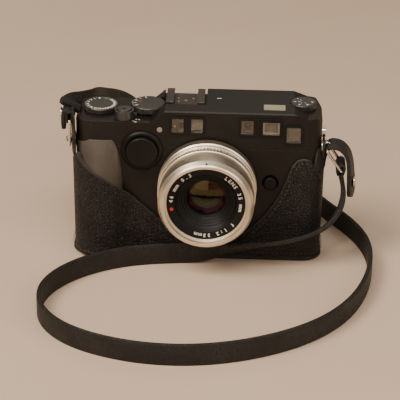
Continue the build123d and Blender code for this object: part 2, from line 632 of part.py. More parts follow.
def make_lens():
    mount_face = FRONT - 1.2
    with BuildPart() as body_mount:
        add(revolved([(19.9, mount_face), (MOUNT_R + 2.4, mount_face), (MOUNT_R + 2.4, FRONT + 8.5), (19.9, FRONT + 8.5)]))
        for angle in (40, 160, 280):
            with Locations(Pos(AXIS_X, 0, AXIS_Z) * Rot(0, angle, 0) * Pos(19.6, mount_face + 1.3, 0)):
                Box(2.0, 1.2, 8)
    save(body_mount, "body_mount_ring")

    with BuildPart() as body_screws:
        for side in (-1, 1):
            for y, z in ((6.2, 80.0), (6.2, 72.0), (5.5, 64.0)):
                add(Pos(side * (BODY_W / 2 + 0.175), y, z) * Rot(0, 90, 0) * Cylinder(1.3, 0.35, mode=Mode.PRIVATE))
    save(body_screws, "body_screws")

    back = mount_face - 0.1
    with BuildPart() as barrel:
        add(revolved([
            (16.5, back), (BASE_R - 0.6, back), (BASE_R, back - 0.6), (BASE_R, back - 5.6), (BASE_R - 0.7, back - 6.2),
            (25.4, back - 6.2), (25.4, back - 15.0), (16.5, back - 15.0),
        ]))
        add(revolved([(16.5, back), (18.4, back), (18.4, -12.5), (16.5, -12.5)]))
    save(barrel, "lens_barrel")

    with BuildPart() as aperture_ring:
        ring_back = back - 6.4
        add(revolved([
            (25.5, ring_back), (27.2, ring_back), (27.6, ring_back - 0.5), (27.6, ring_back - 1.6), (27.0, ring_back - 1.9),
            (27.0, ring_back - 6.2), (27.6, ring_back - 6.5), (27.6, ring_back - 7.9), (27.1, ring_back - 8.3), (25.5, ring_back - 8.3),
        ]))
        with BuildSketch(front_plane(ring_back - 6.1)):
            with Locations((AXIS_X, AXIS_Z)):
                with PolarLocations(27.15, 90):
                    Circle(0.38)
        extrude(amount=-4.1, mode=Mode.SUBTRACT)
    save(aperture_ring, "aperture_ring")

    front = LENS_FACE
    ring_end = ring_back - 8.7
    with BuildPart() as front_ring:
        add(revolved([
            (25.0, ring_end), (FRONT_RING_R, ring_end), (FRONT_RING_R, front + 3.2), (FRONT_RING_R - 1.6, front + 0.6),
            (FRONT_RING_R - 2.4, front), (FILTER_R, front), (FILTER_R, front + 3.4), (22.0, front + 3.4), (22.0, ring_end + 0.1),
            (25.0, ring_end + 0.1),
        ]))
    save(front_ring, "lens_front_ring")

    with BuildPart() as name_ring:
        add(revolved([
            (21.9, front + 3.5), (21.9, front + 13.5), (10.6, front + 13.5), (10.6, front + 12.0), (17.6, front + 4.4),
            (21.2, front + 3.5),
        ]))
    save(name_ring, "lens_inner_ring")

    with BuildPart() as front_element:
        add(glass_disc(10.4, front + 13.4, front + 17.4, 2.4))
    save(front_element, "front_element")

    with BuildPart() as rear_element:
        add(cylinder_y(AXIS_X, AXIS_Z, 12.0, back + 1.5, back + 4.5))
    save(rear_element, "rear_element")

    with BuildPart() as element_cell:
        add(revolved([(12.2, front + 13.6), (16.4, front + 13.6), (16.4, back + 4.5), (12.2, back + 4.5)]))
        add(revolved([(10.6, front + 13.6), (12.2, front + 13.6), (12.2, front + 17.6), (10.6, front + 17.6)]))
        add(revolved([(6.0, front + 20.4), (12.3, front + 20.4), (12.3, front + 21.2), (6.0, front + 21.2)]))
    save(element_cell, "element_cell")

    with BuildPart() as iris_blades:
        add(revolved([(5.0, front + 19.6), (12.1, front + 19.6), (12.1, front + 20.2), (5.0, front + 20.2)]))
        with BuildSketch(front_plane(front + 19.4)):
            with Locations((AXIS_X, AXIS_Z)):
                RegularPolygon(5.6, 7)
        extrude(amount=-1.2, mode=Mode.SUBTRACT)
    save(iris_blades, "iris_blades")


# ---------------------------------------------------------------- rear and side fittings

def make_rear_fittings():
    x, z = EYEPIECE
    with BuildPart() as eyepiece_frame:
        add(block_between((x - 7.9, BACK - 2.5, z - 5.9), (x + 7.9, BACK + 2.6, z + 5.9)))
        fillet(eyepiece_frame.edges().filter_by(Axis.Y), 1.8)
        add(block_between((x - 5, BACK - 4, z - 3.6), (x + 5, BACK + 5, z + 3.6)), mode=Mode.SUBTRACT)
    save(eyepiece_frame, "eyepiece_frame")

    with BuildPart() as diopter_dial:
        add(cylinder_y(DIOPTER_X, z, 4.2, BACK + 0.1, BACK + 2.1))
        add(cylinder_y(DIOPTER_X, z, 1.5, BACK - 3.5, BACK + 0.1))
        with BuildSketch(front_plane(BACK)):
            with Locations((DIOPTER_X, z)):
                with PolarLocations(4.25, 20):
                    Circle(0.25)
        extrude(amount=-3, mode=Mode.SUBTRACT)
    save(diopter_dial, "diopter_dial")

    with BuildPart() as lock_button:
        add(cylinder_y(-45, 77, 2.5, BACK - 2.5, BACK + 1.6))
        fillet(lock_button.faces().sort_by(Axis.Y)[-1].edges(), 0.4)
    save(lock_button, "focus_lock_button")

    with BuildPart() as sync_terminal:
        with BuildSketch(side_plane(BODY_W / 2 - 2.2)):
            with Locations(SYNC):
                Circle(3.1)
                Circle(1.6, mode=Mode.SUBTRACT)
        extrude(amount=4.4)
        with BuildSketch(side_plane(BODY_W / 2 - 2.2)):
            with Locations(SYNC):
                Circle(0.5)
                Circle(3.1)
        extrude(amount=0.8)
    save(sync_terminal, "sync_terminal")


# ---------------------------------------------------------------- strap and its fittings

EDGE = STRAP_W / 2
RING_WIRE = 0.85
EYE_X = BODY_W / 2 + 3.15
RINGS = {"left": (-EYE_X, 0.3, 14.5), "right": (EYE_X, 8.2, -11.96)}
FOLD_R = 2.4


def wire(start, end):
    """A straight wire with round ends between two points."""
    start, end = Vector(*start), Vector(*end)
    with BuildPart(mode=Mode.PRIVATE) as rod:
        with BuildSketch(Plane(origin=start, z_dir=end - start)):
            Circle(RING_WIRE)
        extrude(amount=(end - start).length)
    ball = Sphere(RING_WIRE, mode=Mode.PRIVATE)
    return rod.part + Pos(*start) * ball + Pos(*end) * ball


def make_strap_fittings():
    with BuildPart() as lugs:
        for side in (-1, 1):
            add(Pos(side * (BODY_W / 2 + 0.4), LUG_Y, LUG_Z) * Rot(0, 90, 0) * Cylinder(3.4, 0.8, mode=Mode.PRIVATE))
            add(Pos(side * EYE_X, LUG_Y, LUG_Z) * Rot(90, 0, 0) * Torus(2.3, 0.75, mode=Mode.PRIVATE))
    save(lugs, "strap_lugs")

    with BuildPart() as rings:
        for x, reach_x, reach_z in RINGS.values():
            near, far = LUG_Y - STRAP_W / 2 - 1.2, LUG_Y + STRAP_W / 2 + 1.2
            corners = [(x, near, LUG_Z), (x, far, LUG_Z)]
            corners += [(x + reach_x, far, LUG_Z + reach_z), (x + reach_x, near, LUG_Z + reach_z)]
            for start, end in zip(corners, corners[1:] + corners[:1]):
                add(wire(start, end))
    save(rings, "strap_rings")

    with BuildPart() as ends:
        for side, (x, reach_x, reach_z) in zip((-1, 1), RINGS.values()):
            # Guard disc round the lug, against the body
            guard = Pos(side * (BODY_W / 2 + 1.1), LUG_Y, LUG_Z - 2) * Rot(0, 90, 0) * Cylinder(5.4, 1.4, mode=Mode.PRIVATE)
            guard -= Pos(side * (BODY_W / 2 + 1.1), LUG_Y, LUG_Z) * Rot(0, 90, 0) * Cylinder(3.5, 3, mode=Mode.PRIVATE)
            add(guard)
            # Fold round the ring's outer bar
            fold = Pos(x + reach_x, LUG_Y, LUG_Z + reach_z) * Rot(90, 0, 0) * Cylinder(FOLD_R, STRAP_W, mode=Mode.PRIVATE)
            fold -= Pos(x + reach_x, LUG_Y, LUG_Z + reach_z) * Rot(90, 0, 0) * Cylinder(RING_WIRE + 0.1, 20, mode=Mode.PRIVATE)
            add(fold)
        # Free ends: the right one hangs over the ring, the left one lies along it
        with BuildSketch(front_plane(LUG_Y - STRAP_W / 2)):
            with BuildLine() as tail:
                FilletPolyline((76.6, 71.8), (81.6, 68.8), (85.0, 61.5), (86.9, 51.0), (87.7, 37.5), radius=4)
            trace(tail.line, line_width=2.2)
        extrude(amount=-STRAP_W)
        add(block_between((-77.2, LUG_Y - EDGE, 75.5), (-75.2, LUG_Y + EDGE, 89.0)))
    save(ends, "strap_ends")

    with BuildPart() as rivets:
        for x, z in ((-77.7, 85.0), (88.95, 47.0)):
            add(Pos(x, LUG_Y, z) * Rot(0, 90, 0) * Cylinder(3.0, 0.9, mode=Mode.PRIVATE))
            fillet(rivets.faces().sort_by(Axis.X)[0 if x < 0 else -1].edges(), 0.35)
    save(rivets, "strap_rivets")


# Route of the strap's centreline, from the right-hand ring round the front and the floor behind to the left-hand ring
FRONT_DROP = [
    (80.8, -9.0, 53.2), (82.8, -9.4, 45.5), (83.4, -11.2, 37.5), (80.9, -15.2, 29.8), (75.2, -20.2, 24.0), (66.6, -24.4, 20.2),
    (56.0, -26.6, 17.3), (44.5, -27.2, 15.0), (32.8, -27.0, 13.0), (21.3, -26.4, 10.8), (10.2, -25.8, 8.5), (-1.0, -25.6, 6.9),
]
FLOOR_LOOP = [
    (-12.5, -26.0), (-25.0, -27.6), (-37.8, -30.8), (-50.3, -36.2), (-62.0, -43.9), (-72.2, -53.8), (-79.9, -65.8),
    (-83.8, -79.4), (-82.8, -93.4), (-77.0, -106.2), (-67.6, -117.0), (-55.6, -125.2), (-41.4, -131.3), (-25.6, -135.4),
    (-9.0, -136.8), (7.8, -135.5), (24.4, -131.4), (40.0, -125.0), (54.7, -116.6), (68.0, -105.9), (79.0, -93.2),
    (87.4, -79.2), (93.2, -64.6), (97.2, -49.6), (99.4, -34.4), (99.5, -19.2), (97.0, -5.0), (91.9, 8.6), (85.2, 21.2),
    (77.2, 33.4), (70.4, 46.6), (65.4, 60.8), (61.0, 75.2), (54.8, 89.0), (45.6, 101.4), (33.6, 111.2), (19.6, 117.8),
]
REAR_RISE = [
    (4.2, 120.6, 7.0), (-12.2, 118.6, 11.6), (-26.6, 112.8, 19.0), (-38.2, 105.0, 27.6), (-47.0, 95.8, 37.0),
    (-53.2, 85.8, 46.6), (-57.4, 75.4, 55.6), (-60.0, 64.8, 63.6), (-61.0, 54.6, 70.2), (-60.4, 45.4, 75.0), (-60.6, 37.0, 78.4),
    (-62.6, 29.2, 80.6), (-66.7, 21.9, 82.9), (-70.0, 14.4, 85.0), (-72.2, 6.6, 86.8), (-73.0, -1.0, 89.2), (-72.8, -6.2, 90.0),
    (-72.4, -9.0, 88.2),
]


def arc_radii(points):
    """The largest arc that each corner's two runs allow."""
    vectors = [Vector(*p) for p in points]
    radii = []
    for before, here, after in zip(vectors, vectors[1:], vectors[2:]):
        run = min((here - before).length, (after - here).length)
        turn = math.radians((here - before).get_angle(after - here))
        radii.append(0.45 * run / math.tan(turn / 2))
    return radii


def strap_path(points):
    radii = arc_radii(points)
    print("radii", [round(r, 1) for r in radii])
    return FilletPolyline(*points, radius=radii)


def make_strap():
    loop = [FRONT_DROP[-1][:2], *FLOOR_LOOP, REAR_RISE[0][:2]]
    with BuildPart() as floor_strap:
        with BuildSketch(Plane.XY):
            with BuildLine() as route:
                path = strap_path(loop)
            trace(route.line, line_width=STRAP_T)
        extrude(amount=STRAP_W)
    print("floor length", path.length, floor_strap.part.volume / (STRAP_W * STRAP_T))
    save(floor_strap, "strap_floor_loop")

    for name, points in (("strap_front_drop", FRONT_DROP), ("strap_rear_rise", REAR_RISE)):
        with BuildPart() as riser:
            with BuildLine():
                path = strap_path(points)
            with BuildSketch(Plane(origin=path @ 0, z_dir=path % 0)):
                Circle(STRAP_T)
            sweep()
        section = math.pi * STRAP_T ** 2
        print(name, path.length, riser.part.volume / section)
        save(riser, name)


make_case()
make_top_cover()
make_bottom_cover()
make_front_panel()
make_chassis()
make_shutter()
make_back_door()
make_top_controls()
make_windows()
make_focus_dial()
make_lens_release()
make_lens()
make_rear_fittings()
make_strap_fittings()
make_strap()
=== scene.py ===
import math

import bpy
import numpy as np
from mathutils import Matrix, Vector, noise


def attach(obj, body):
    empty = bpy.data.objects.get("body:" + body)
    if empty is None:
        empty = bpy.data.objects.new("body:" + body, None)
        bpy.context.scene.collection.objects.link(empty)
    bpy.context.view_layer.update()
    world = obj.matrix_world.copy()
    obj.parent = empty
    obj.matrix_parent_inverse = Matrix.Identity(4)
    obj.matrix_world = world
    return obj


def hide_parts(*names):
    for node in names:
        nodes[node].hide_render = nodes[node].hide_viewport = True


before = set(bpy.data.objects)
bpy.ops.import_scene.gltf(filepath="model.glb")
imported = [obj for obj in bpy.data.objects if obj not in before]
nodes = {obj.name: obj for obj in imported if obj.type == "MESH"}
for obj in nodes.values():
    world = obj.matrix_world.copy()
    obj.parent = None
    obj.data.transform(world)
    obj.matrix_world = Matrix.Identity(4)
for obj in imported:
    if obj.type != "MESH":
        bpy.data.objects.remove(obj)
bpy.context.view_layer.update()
mm = 0.001

# Shared measures of the camera, in millimetres
lensX, lensZ = 5.5, 47.0


# Helpers

def deselect():
    if bpy.context.object and bpy.context.object.mode != "OBJECT":
        bpy.ops.object.mode_set(mode="OBJECT")
    bpy.ops.object.select_all(action="DESELECT")


def pick(obj):
    deselect()
    obj.select_set(True)
    bpy.context.view_layer.objects.active = obj


def settle(obj):
    # puts the object's place into its mesh
    pick(obj)
    bpy.ops.object.transform_apply(location=True, rotation=True, scale=True)
    return obj


def applyAll(obj):
    pick(obj)
    for modifier in list(obj.modifiers):
        bpy.ops.object.modifier_apply(modifier=modifier.name)
    return obj


def addModifier(obj, kind, **settings):
    modifier = obj.modifiers.new(kind.lower(), kind)
    for key, value in settings.items():
        setattr(modifier, key, value)
    return modifier


def smooth(obj, angle=35):
    pick(obj)
    bpy.ops.object.shade_smooth_by_angle(angle=math.radians(angle))
    return obj


def joinAs(name, parts):
    deselect()
    for part in parts:
        part.select_set(True)
    bpy.context.view_layer.objects.active = parts[0]
    if len(parts) > 1:
        bpy.ops.object.join()
    parts[0].name = name
    parts[0].data.name = name
    return parts[0]


def setMaterial(obj, *materials):
    obj.data.materials.clear()
    for material in materials:
        obj.data.materials.append(material)


def fixNormals(obj, merge=0.00001):
    pick(obj)
    bpy.ops.object.mode_set(mode="EDIT")
    bpy.ops.mesh.select_all(action="SELECT")
    bpy.ops.mesh.remove_doubles(threshold=merge)
    bpy.ops.mesh.normals_make_consistent(inside=False)
    bpy.ops.object.mode_set(mode="OBJECT")
    return obj


def lathe(name, profile, centre=(lensX, lensZ), segments=128):
    # a ring of (radius, y) stations about the lens axis, extruded and scaled station by station
    x, z = centre
    deselect()
    radius, y = profile[0]
    bpy.ops.mesh.primitive_circle_add(vertices=segments, radius=radius * mm, fill_type="NOTHING",
                                      location=(x * mm, y * mm, z * mm), rotation=(math.pi / 2, 0, 0))
    obj = bpy.context.object
    obj.name = name
    bpy.ops.object.mode_set(mode="EDIT")
    bpy.ops.mesh.select_all(action="SELECT")
    for nextRadius, nextY in profile[1:]:
        bpy.ops.mesh.extrude_edges_move(TRANSFORM_OT_translate={"value": (0, (nextY - y) * mm, 0)})
        ratio = nextRadius / radius
        bpy.ops.transform.resize(value=(ratio, 1, ratio), center_override=(x * mm, nextY * mm, z * mm))
        radius, y = nextRadius, nextY
    bpy.ops.object.mode_set(mode="OBJECT")
    settle(obj)
    return fixNormals(obj)


def closeLathe(name, profile):
    return lathe(name, [*profile, profile[0]])


# Camera

cameraSet = {
    "azimuth": 1.58, "elevation": 26.47, "roll": 0.93,
    "lens": 154.68, "aim": (1.49, -17.0, 36.34), "distance": 980.8,
}
azimuth, elevation = math.radians(cameraSet["azimuth"]), math.radians(cameraSet["elevation"])
back = Vector((math.sin(azimuth) * math.cos(elevation), -math.cos(azimuth) * math.cos(elevation),
    math.sin(elevation)))
right = Vector((0, 0, 1)).cross(back).normalized()
up = back.cross(right)
roll = math.radians(cameraSet["roll"])
rolledRight = math.cos(roll) * right + math.sin(roll) * up
rolledUp = -math.sin(roll) * right + math.cos(roll) * up
eye = (Vector(cameraSet["aim"]) + back * cameraSet["distance"]) * mm
cameraData = bpy.data.cameras.new("viewCamera")
cameraData.lens = cameraSet["lens"]
cameraData.sensor_width = 36
cameraData.clip_start = 0.05
cameraData.dof.use_dof = False
viewCamera = bpy.data.objects.new("viewCamera", cameraData)
bpy.context.scene.collection.objects.link(viewCamera)
viewCamera.matrix_world = Matrix.Translation(eye) @ Matrix((rolledRight, rolledUp,
    back)).transposed().to_4x4()
bpy.context.scene.camera = viewCamera
print("stage: camera placed")


# Neck strap

strapSet = {"width": 12.5, "thick": 2.6, "floorZ": 6.25}
frontDrop = [
    (80.8, -9.0, 53.2), (82.8, -9.4, 45.5), (83.4, -11.2, 37.5), (80.9, -15.2, 29.8), (75.2, -20.2, 24.0),
    (66.6, -24.4, 20.2),
    (56.0, -26.6, 17.3), (44.5, -27.2, 15.0), (32.8, -27.0, 13.0), (21.3, -26.4, 10.8), (10.2, -25.8, 8.5),
    (-1.0, -25.6, 6.9),
]
floorLoop = [
    (-12.5, -26.0), (-25.0, -27.6), (-37.8, -30.8), (-50.3, -36.2), (-62.0, -43.9), (-72.2, -53.8),
    (-79.9, -65.8),
    (-83.8, -79.4), (-82.8, -93.4), (-77.0, -106.2), (-67.6, -117.0), (-55.6, -125.2), (-41.4, -131.3),
    (-25.6, -135.4),
    (-9.0, -136.8), (7.8, -135.5), (24.4, -131.4), (40.0, -125.0), (54.7, -116.6), (68.0, -105.9),
    (79.0, -93.2),
    (87.4, -79.2), (93.2, -64.6), (97.2, -49.6), (99.4, -34.4), (99.5, -19.2), (97.0, -5.0), (91.9, 8.6),
    (85.2, 21.2),
    (77.2, 33.4), (70.4, 46.6), (65.4, 60.8), (61.0, 75.2), (54.8, 89.0), (45.6, 101.4), (33.6, 111.2),
    (19.6, 117.8),
]
rearRise = [
    (4.2, 120.6, 7.0), (-11.6, 118.4, 11.8), (-23.8, 112.4, 19.6), (-33.0, 104.6, 28.8), (-39.6, 95.8, 39.0),
    (-45.0, 86.0, 48.8), (-49.8, 75.6, 56.6), (-54.0, 65.2, 62.4), (-57.4, 54.8, 67.2), (-59.8, 45.2, 71.6),
    (-61.4, 36.6, 75.2), (-63.2, 29.0, 77.4), (-66.0, 21.8, 79.2), (-69.4, 14.6, 81.4), (-72.2, 6.8, 84.6),
    (-73.2, -1.0, 87.8), (-72.9, -6.2, 89.2), (-72.4, -9.0, 88.2),
]


def routePoints(name, points):
    # points along a smooth spline with these control points
    curve = bpy.data.curves.new(name, "CURVE")
    curve.dimensions = "3D"
    curve.resolution_u = 8
    spline = curve.splines.new("NURBS")
    spline.points.add(len(points) - 1)
    for slot, place in zip(spline.points, points):
        slot.co = (place[0] * mm, place[1] * mm, place[2] * mm, 1)
    spline.order_u = 3
    spline.use_endpoint_u = True
    carrier = bpy.data.objects.new(name, curve)
    bpy.context.scene.collection.objects.link(carrier)
    bpy.context.view_layer.update()
    line = bpy.data.meshes.new_from_object(carrier.evaluated_get(bpy.context.evaluated_depsgraph_get()))
    places = [v.co.copy() for v in line.vertices]
    bpy.data.objects.remove(carrier)
    bpy.data.meshes.remove(line)
    return places


def bandProfile(halfWidth, halfThick, groove):
    # a band's section: rounded corners, and a fine seam line along the middle of each edge
    r = halfThick * 0.55
    section = []
    for sx, sy, start in ((1, 1, 0), (-1, 1, 90), (-1, -1, 180), (1, -1, 270)):
        cx, cy = sx * (halfWidth - r), sy * (halfThick - r)
        for step in range(4):
            angle = math.radians(start + 30 * step)
            section.append((cx + r * math.cos(angle), cy + r * math.sin(angle)))
        if start in (90, 270):
            side = -1 if start == 90 else 1
            section.extend([(side * halfWidth, sy * groove), (side * (halfWidth - groove), 0),
                (side * halfWidth, -sy * groove)])
            if start == 90:
                continue
    return section


def spread(places):
    lengths = [0.0]
    for a, b in zip(places, places[1:]):
        lengths.append(lengths[-1] + (b - a).length)
    return lengths


def bandMesh(name, places, widthKeys, halfWidth, halfThick, groove=0.28, roundEnds=(False, False)):
    # sweeps the section along the points; widthKeys are (place, width direction) pairs along the way
    lengths = spread(places)
    keyAt = []
    for place, direction in widthKeys:
        nearest = min(range(len(places)), key=lambda i: (places[i] - Vector(place) * mm).length)
        keyAt.append((lengths[nearest], Vector(direction).normalized()))
    keyAt.sort(key=lambda k: k[0])
    section = bandProfile(halfWidth, halfThick, groove)
    count = len(section)
    vertices, faces = [], []
    for i, here in enumerate(places):
        before, after = places[max(i - 1, 0)], places[min(i + 1, len(places) - 1)]
        tangent = (after - before).normalized()
        at = lengths[i]
        width = keyAt[-1][1]
        if at <= keyAt[0][0]:
            width = keyAt[0][1]
        for (a, da), (b, db) in zip(keyAt, keyAt[1:]):
            if a <= at <= b and b > a:
                t = (at - a) / (b - a)
                t = t * t * (3 - 2 * t)
                width = da.lerp(db, t)
        width = (width - tangent * width.dot(tangent)).normalized()
        flat = tangent.cross(width)
        squeeze = 1.0
        for isRound, distance in ((roundEnds[0], at), (roundEnds[1], lengths[-1] - at)):
            if isRound and distance < halfWidth * mm:
                squeeze = max(0.12, math.sqrt(max(0.0, 1 - (1 - distance / (halfWidth * mm)) ** 2)))
        for u, v in section:
            vertices.append(here + width * u * squeeze * mm + flat * v * mm)
        if i:
            for k in range(count):
                n = (k + 1) % count
                low = (i - 1) * count
                faces.append((low + k, low + n, low + count + n, low + count + k))
    faces.append(tuple(range(count))[::-1])
    faces.append(tuple(range(len(vertices) - count, len(vertices))))
    mesh = bpy.data.meshes.new(name)
    mesh.from_pydata(vertices, [], faces)
    obj = bpy.data.objects.new(name, mesh)
    bpy.context.scene.collection.objects.link(obj)
    return smooth(fixNormals(obj, 0.000001), 40)


strapRoute = routePoints("strapRoute", [*frontDrop, *[(x, y, strapSet["floorZ"]) for x, y in floorLoop],
    *rearRise])
acrossView = (0, 0.895, -0.446)
strapKeys = [
    ((80.8, -9.0, 53.2), (0, 1, 0)), ((83.4, -11.2, 37.5), (0, 0.97, -0.25)),
    ((75.2, -20.2, 24.0), acrossView),
    ((44.5, -27.2, 15.0), acrossView), ((21.3, -26.4, 10.8), (0, 0.75, -0.66)),
    ((-1.0, -25.6, 6.9), (0, 0.08, -1)),
    ((-25.0, -27.6, 6.25), (0, 0, -1)), ((4.2, 120.6, 7.0), (0, 0, -1)), ((-63.2, 29.0, 77.4), (0, 0, -1)),
    ((-69.4, 14.6, 81.4), (0.4, 0.0, -0.92)), ((-73.2, -1.0, 87.8), (0.85, 0.35, -0.5)),
    ((-72.4, -9.0, 88.2), (0.2, 1, 0)),
]
strap = bandMesh("neck_strap", strapRoute, strapKeys, strapSet["width"] / 2, strapSet["thick"] / 2 - 0.05)
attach(strap, "camera")
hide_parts("strap_front_drop", "strap_floor_loop", "strap_rear_rise")


# Node groups shared by the finishes

def newGroup(name, inputs, outputs):
    tree = bpy.data.node_groups.new(name, "ShaderNodeTree")
    for socketName, kind, value in inputs:
        socket = tree.interface.new_socket(name=socketName, in_out="INPUT", socket_type=kind)
        if value is not None:
            socket.default_value = value
    for socketName, kind in outputs:
        tree.interface.new_socket(name=socketName, in_out="OUTPUT", socket_type=kind)
    return tree, tree.nodes.new("NodeGroupInput"), tree.nodes.new("NodeGroupOutput")


def addNode(tree, kind, values=None, **settings):
    node = tree.nodes.new(kind)
    for key, value in settings.items():
        setattr(node, key, value)
    for key, value in (values or {}).items():
        if hasattr(value, "is_output"):
            tree.links.new(value, node.inputs[key])
        else:
            node.inputs[key].default_value = value
    return node


def mathNode(tree, operation, a, b=None):
    values = {0: a}
    if b is not None:
        values[1] = b
    return addNode(tree, "ShaderNodeMath", values, operation=operation).outputs[0]


def rangeNode(tree, value, low, high, toLow=0.0, toHigh=1.0):
    return addNode(tree, "ShaderNodeMapRange",
        {"Value": value, "From Min": low, "From Max": high, "To Min": toLow, "To Max": toHigh},
                   interpolation_type="SMOOTHSTEP").outputs["Result"]


def mixNode(tree, factor, a, b):
    return addNode(tree, "ShaderNodeMix", {0: factor, 6: a, 7: b}, data_type="RGBA").outputs[2]


# Leather grain: pebbles between fine creases, stretched into wrinkles where asked
grain, source, sink = newGroup(
    "leatherGrain",
    [("Vector", "NodeSocketVector", None), ("Pebble Scale", "NodeSocketFloat", 900.0),
        ("Wrinkle", "NodeSocketFloat", 0.3)],
    [("Height", "NodeSocketFloat"), ("Crease", "NodeSocketFloat"), ("Tone", "NodeSocketFloat")])
warp = addNode(grain, "ShaderNodeTexNoise",
    {"Vector": source.outputs["Vector"], "Scale": 260.0, "Detail": 2.0})
shifted = addNode(grain, "ShaderNodeVectorMath", {0: warp.outputs["Color"], 1: (0.0014, 0.0014, 0.0014)},
    operation="MULTIPLY")
moved = addNode(grain, "ShaderNodeVectorMath", {0: source.outputs["Vector"], 1: shifted.outputs[0]},
    operation="ADD")
pebbles = addNode(grain, "ShaderNodeTexVoronoi",
    {"Vector": moved.outputs[0], "Scale": source.outputs["Pebble Scale"]},
                  feature="DISTANCE_TO_EDGE")
crease = rangeNode(grain, pebbles.outputs["Distance"], 0.0, 0.22)
stretched = addNode(grain, "ShaderNodeVectorMath", {0: moved.outputs[0], 1: (0.28, 0.5, 1.0)},
    operation="MULTIPLY")
folds = addNode(grain, "ShaderNodeTexNoise", {"Vector": stretched.outputs[0], "Scale": 420.0, "Detail": 3.0,
    "Roughness": 0.55})
foldHeight = mathNode(grain, "MULTIPLY", folds.outputs["Fac"], source.outputs["Wrinkle"])
grain.links.new(mathNode(grain, "ADD", crease, foldHeight), sink.inputs["Height"])
grain.links.new(crease, sink.inputs["Crease"])
broad = addNode(grain, "ShaderNodeTexNoise",
    {"Vector": source.outputs["Vector"], "Scale": 55.0, "Detail": 4.0})
grain.links.new(broad.outputs["Fac"], sink.inputs["Tone"])

# Edge wear: where an outside edge turns, broken up by noise; the normal has the edge rounded
wear, source, sink = newGroup(
    "edgeWear",
    [("Vector", "NodeSocketVector", None), ("Radius", "NodeSocketFloat", 0.0004),
        ("Breakup", "NodeSocketFloat", 400.0)],
    [("Mask", "NodeSocketFloat"), ("Normal", "NodeSocketVector")])
rounded = addNode(wear, "ShaderNodeBevel", {"Radius": source.outputs["Radius"]}, samples=6)
shape = addNode(wear, "ShaderNodeNewGeometry")
turned = addNode(wear, "ShaderNodeVectorMath", {0: rounded.outputs[0], 1: shape.outputs["Normal"]},
    operation="DOT_PRODUCT")
edge = rangeNode(wear, turned.outputs["Value"], 0.99, 0.86)
patches = addNode(wear, "ShaderNodeTexNoise",
    {"Vector": source.outputs["Vector"], "Scale": source.outputs["Breakup"], "Detail": 4.0})
worn = rangeNode(wear, patches.outputs["Fac"], 0.42, 0.62)
wear.links.new(mathNode(wear, "MULTIPLY", edge, worn), sink.inputs["Mask"])
wear.links.new(rounded.outputs[0], sink.inputs["Normal"])

# Dust: sparse fine specks and a faint film
dust, source, sink = newGroup(
    "fineDust", [("Vector", "NodeSocketVector", None), ("Amount", "NodeSocketFloat", 0.5)],
    [("Specks", "NodeSocketFloat"), ("Film", "NodeSocketFloat")])
specks = addNode(dust, "ShaderNodeTexVoronoi",
    {"Vector": source.outputs["Vector"], "Scale": 420.0, "Randomness": 1.0})
small = rangeNode(dust, specks.outputs["Distance"], 0.13, 0.05)
where = addNode(dust, "ShaderNodeTexNoise",
    {"Vector": source.outputs["Vector"], "Scale": 90.0, "Detail": 2.0})
some = rangeNode(dust, where.outputs["Fac"], 0.55, 0.75)
dust.links.new(mathNode(dust, "MULTIPLY", mathNode(dust, "MULTIPLY", small, some), source.outputs["Amount"]),
    sink.inputs["Specks"])
film = addNode(dust, "ShaderNodeTexNoise", {"Vector": source.outputs["Vector"], "Scale": 30.0, "Detail": 5.0,
    "Roughness": 0.6})
dust.links.new(film.outputs["Fac"], sink.inputs["Film"])

# Turning marks: fine rings about the lens axis
turning, source, sink = newGroup(
    "turningMarks", [("Vector", "NodeSocketVector", None), ("Fineness", "NodeSocketFloat", 1.0)],
    [("Height", "NodeSocketFloat"), ("Tone", "NodeSocketFloat")])
centred = addNode(turning, "ShaderNodeVectorMath",
    {0: source.outputs["Vector"], 1: (lensX * mm, 0, lensZ * mm)}, operation="SUBTRACT")
flatRing = addNode(turning, "ShaderNodeVectorMath", {0: centred.outputs[0], 1: (1, 0, 1)},
    operation="MULTIPLY")
fromAxis = addNode(turning, "ShaderNodeVectorMath", {0: flatRing.outputs[0]}, operation="LENGTH")
apart = addNode(turning, "ShaderNodeSeparateXYZ", {0: centred.outputs[0]})
rings = addNode(turning, "ShaderNodeCombineXYZ", {0: fromAxis.outputs["Value"], 1: apart.outputs[1]})
scaled = addNode(turning, "ShaderNodeVectorMath", {0: rings.outputs[0], 1: (9000, 9000, 1)},
    operation="MULTIPLY")
marks = addNode(turning, "ShaderNodeTexNoise",
    {"Vector": scaled.outputs[0], "Scale": source.outputs["Fineness"], "Detail": 2.0})
turning.links.new(marks.outputs["Fac"], sink.inputs["Height"])
cloud = addNode(turning, "ShaderNodeTexNoise",
    {"Vector": source.outputs["Vector"], "Scale": 70.0, "Detail": 4.0})
turning.links.new(cloud.outputs["Fac"], sink.inputs["Tone"])


def startMaterial(name, roughness=0.5, metallic=0.0, **constants):
    material = bpy.data.materials.new(name)
    material.use_nodes = True
    tree = material.node_tree
    shader = tree.nodes["Principled BSDF"]
    shader.inputs["Roughness"].default_value = roughness
    shader.inputs["Metallic"].default_value = metallic
    for key, value in constants.items():
        shader.inputs[key.replace("_", " ")].default_value = value
    where = tree.nodes.new("ShaderNodeTexCoord").outputs["Object"]
    return material, tree, shader, where


def groupNode(tree, group, values):
    node = tree.nodes.new("ShaderNodeGroup")
    node.node_tree = group
    for key, value in values.items():
        if hasattr(value, "is_output"):
            tree.links.new(value, node.inputs[key])
        else:
            node.inputs[key].default_value = value
    return node


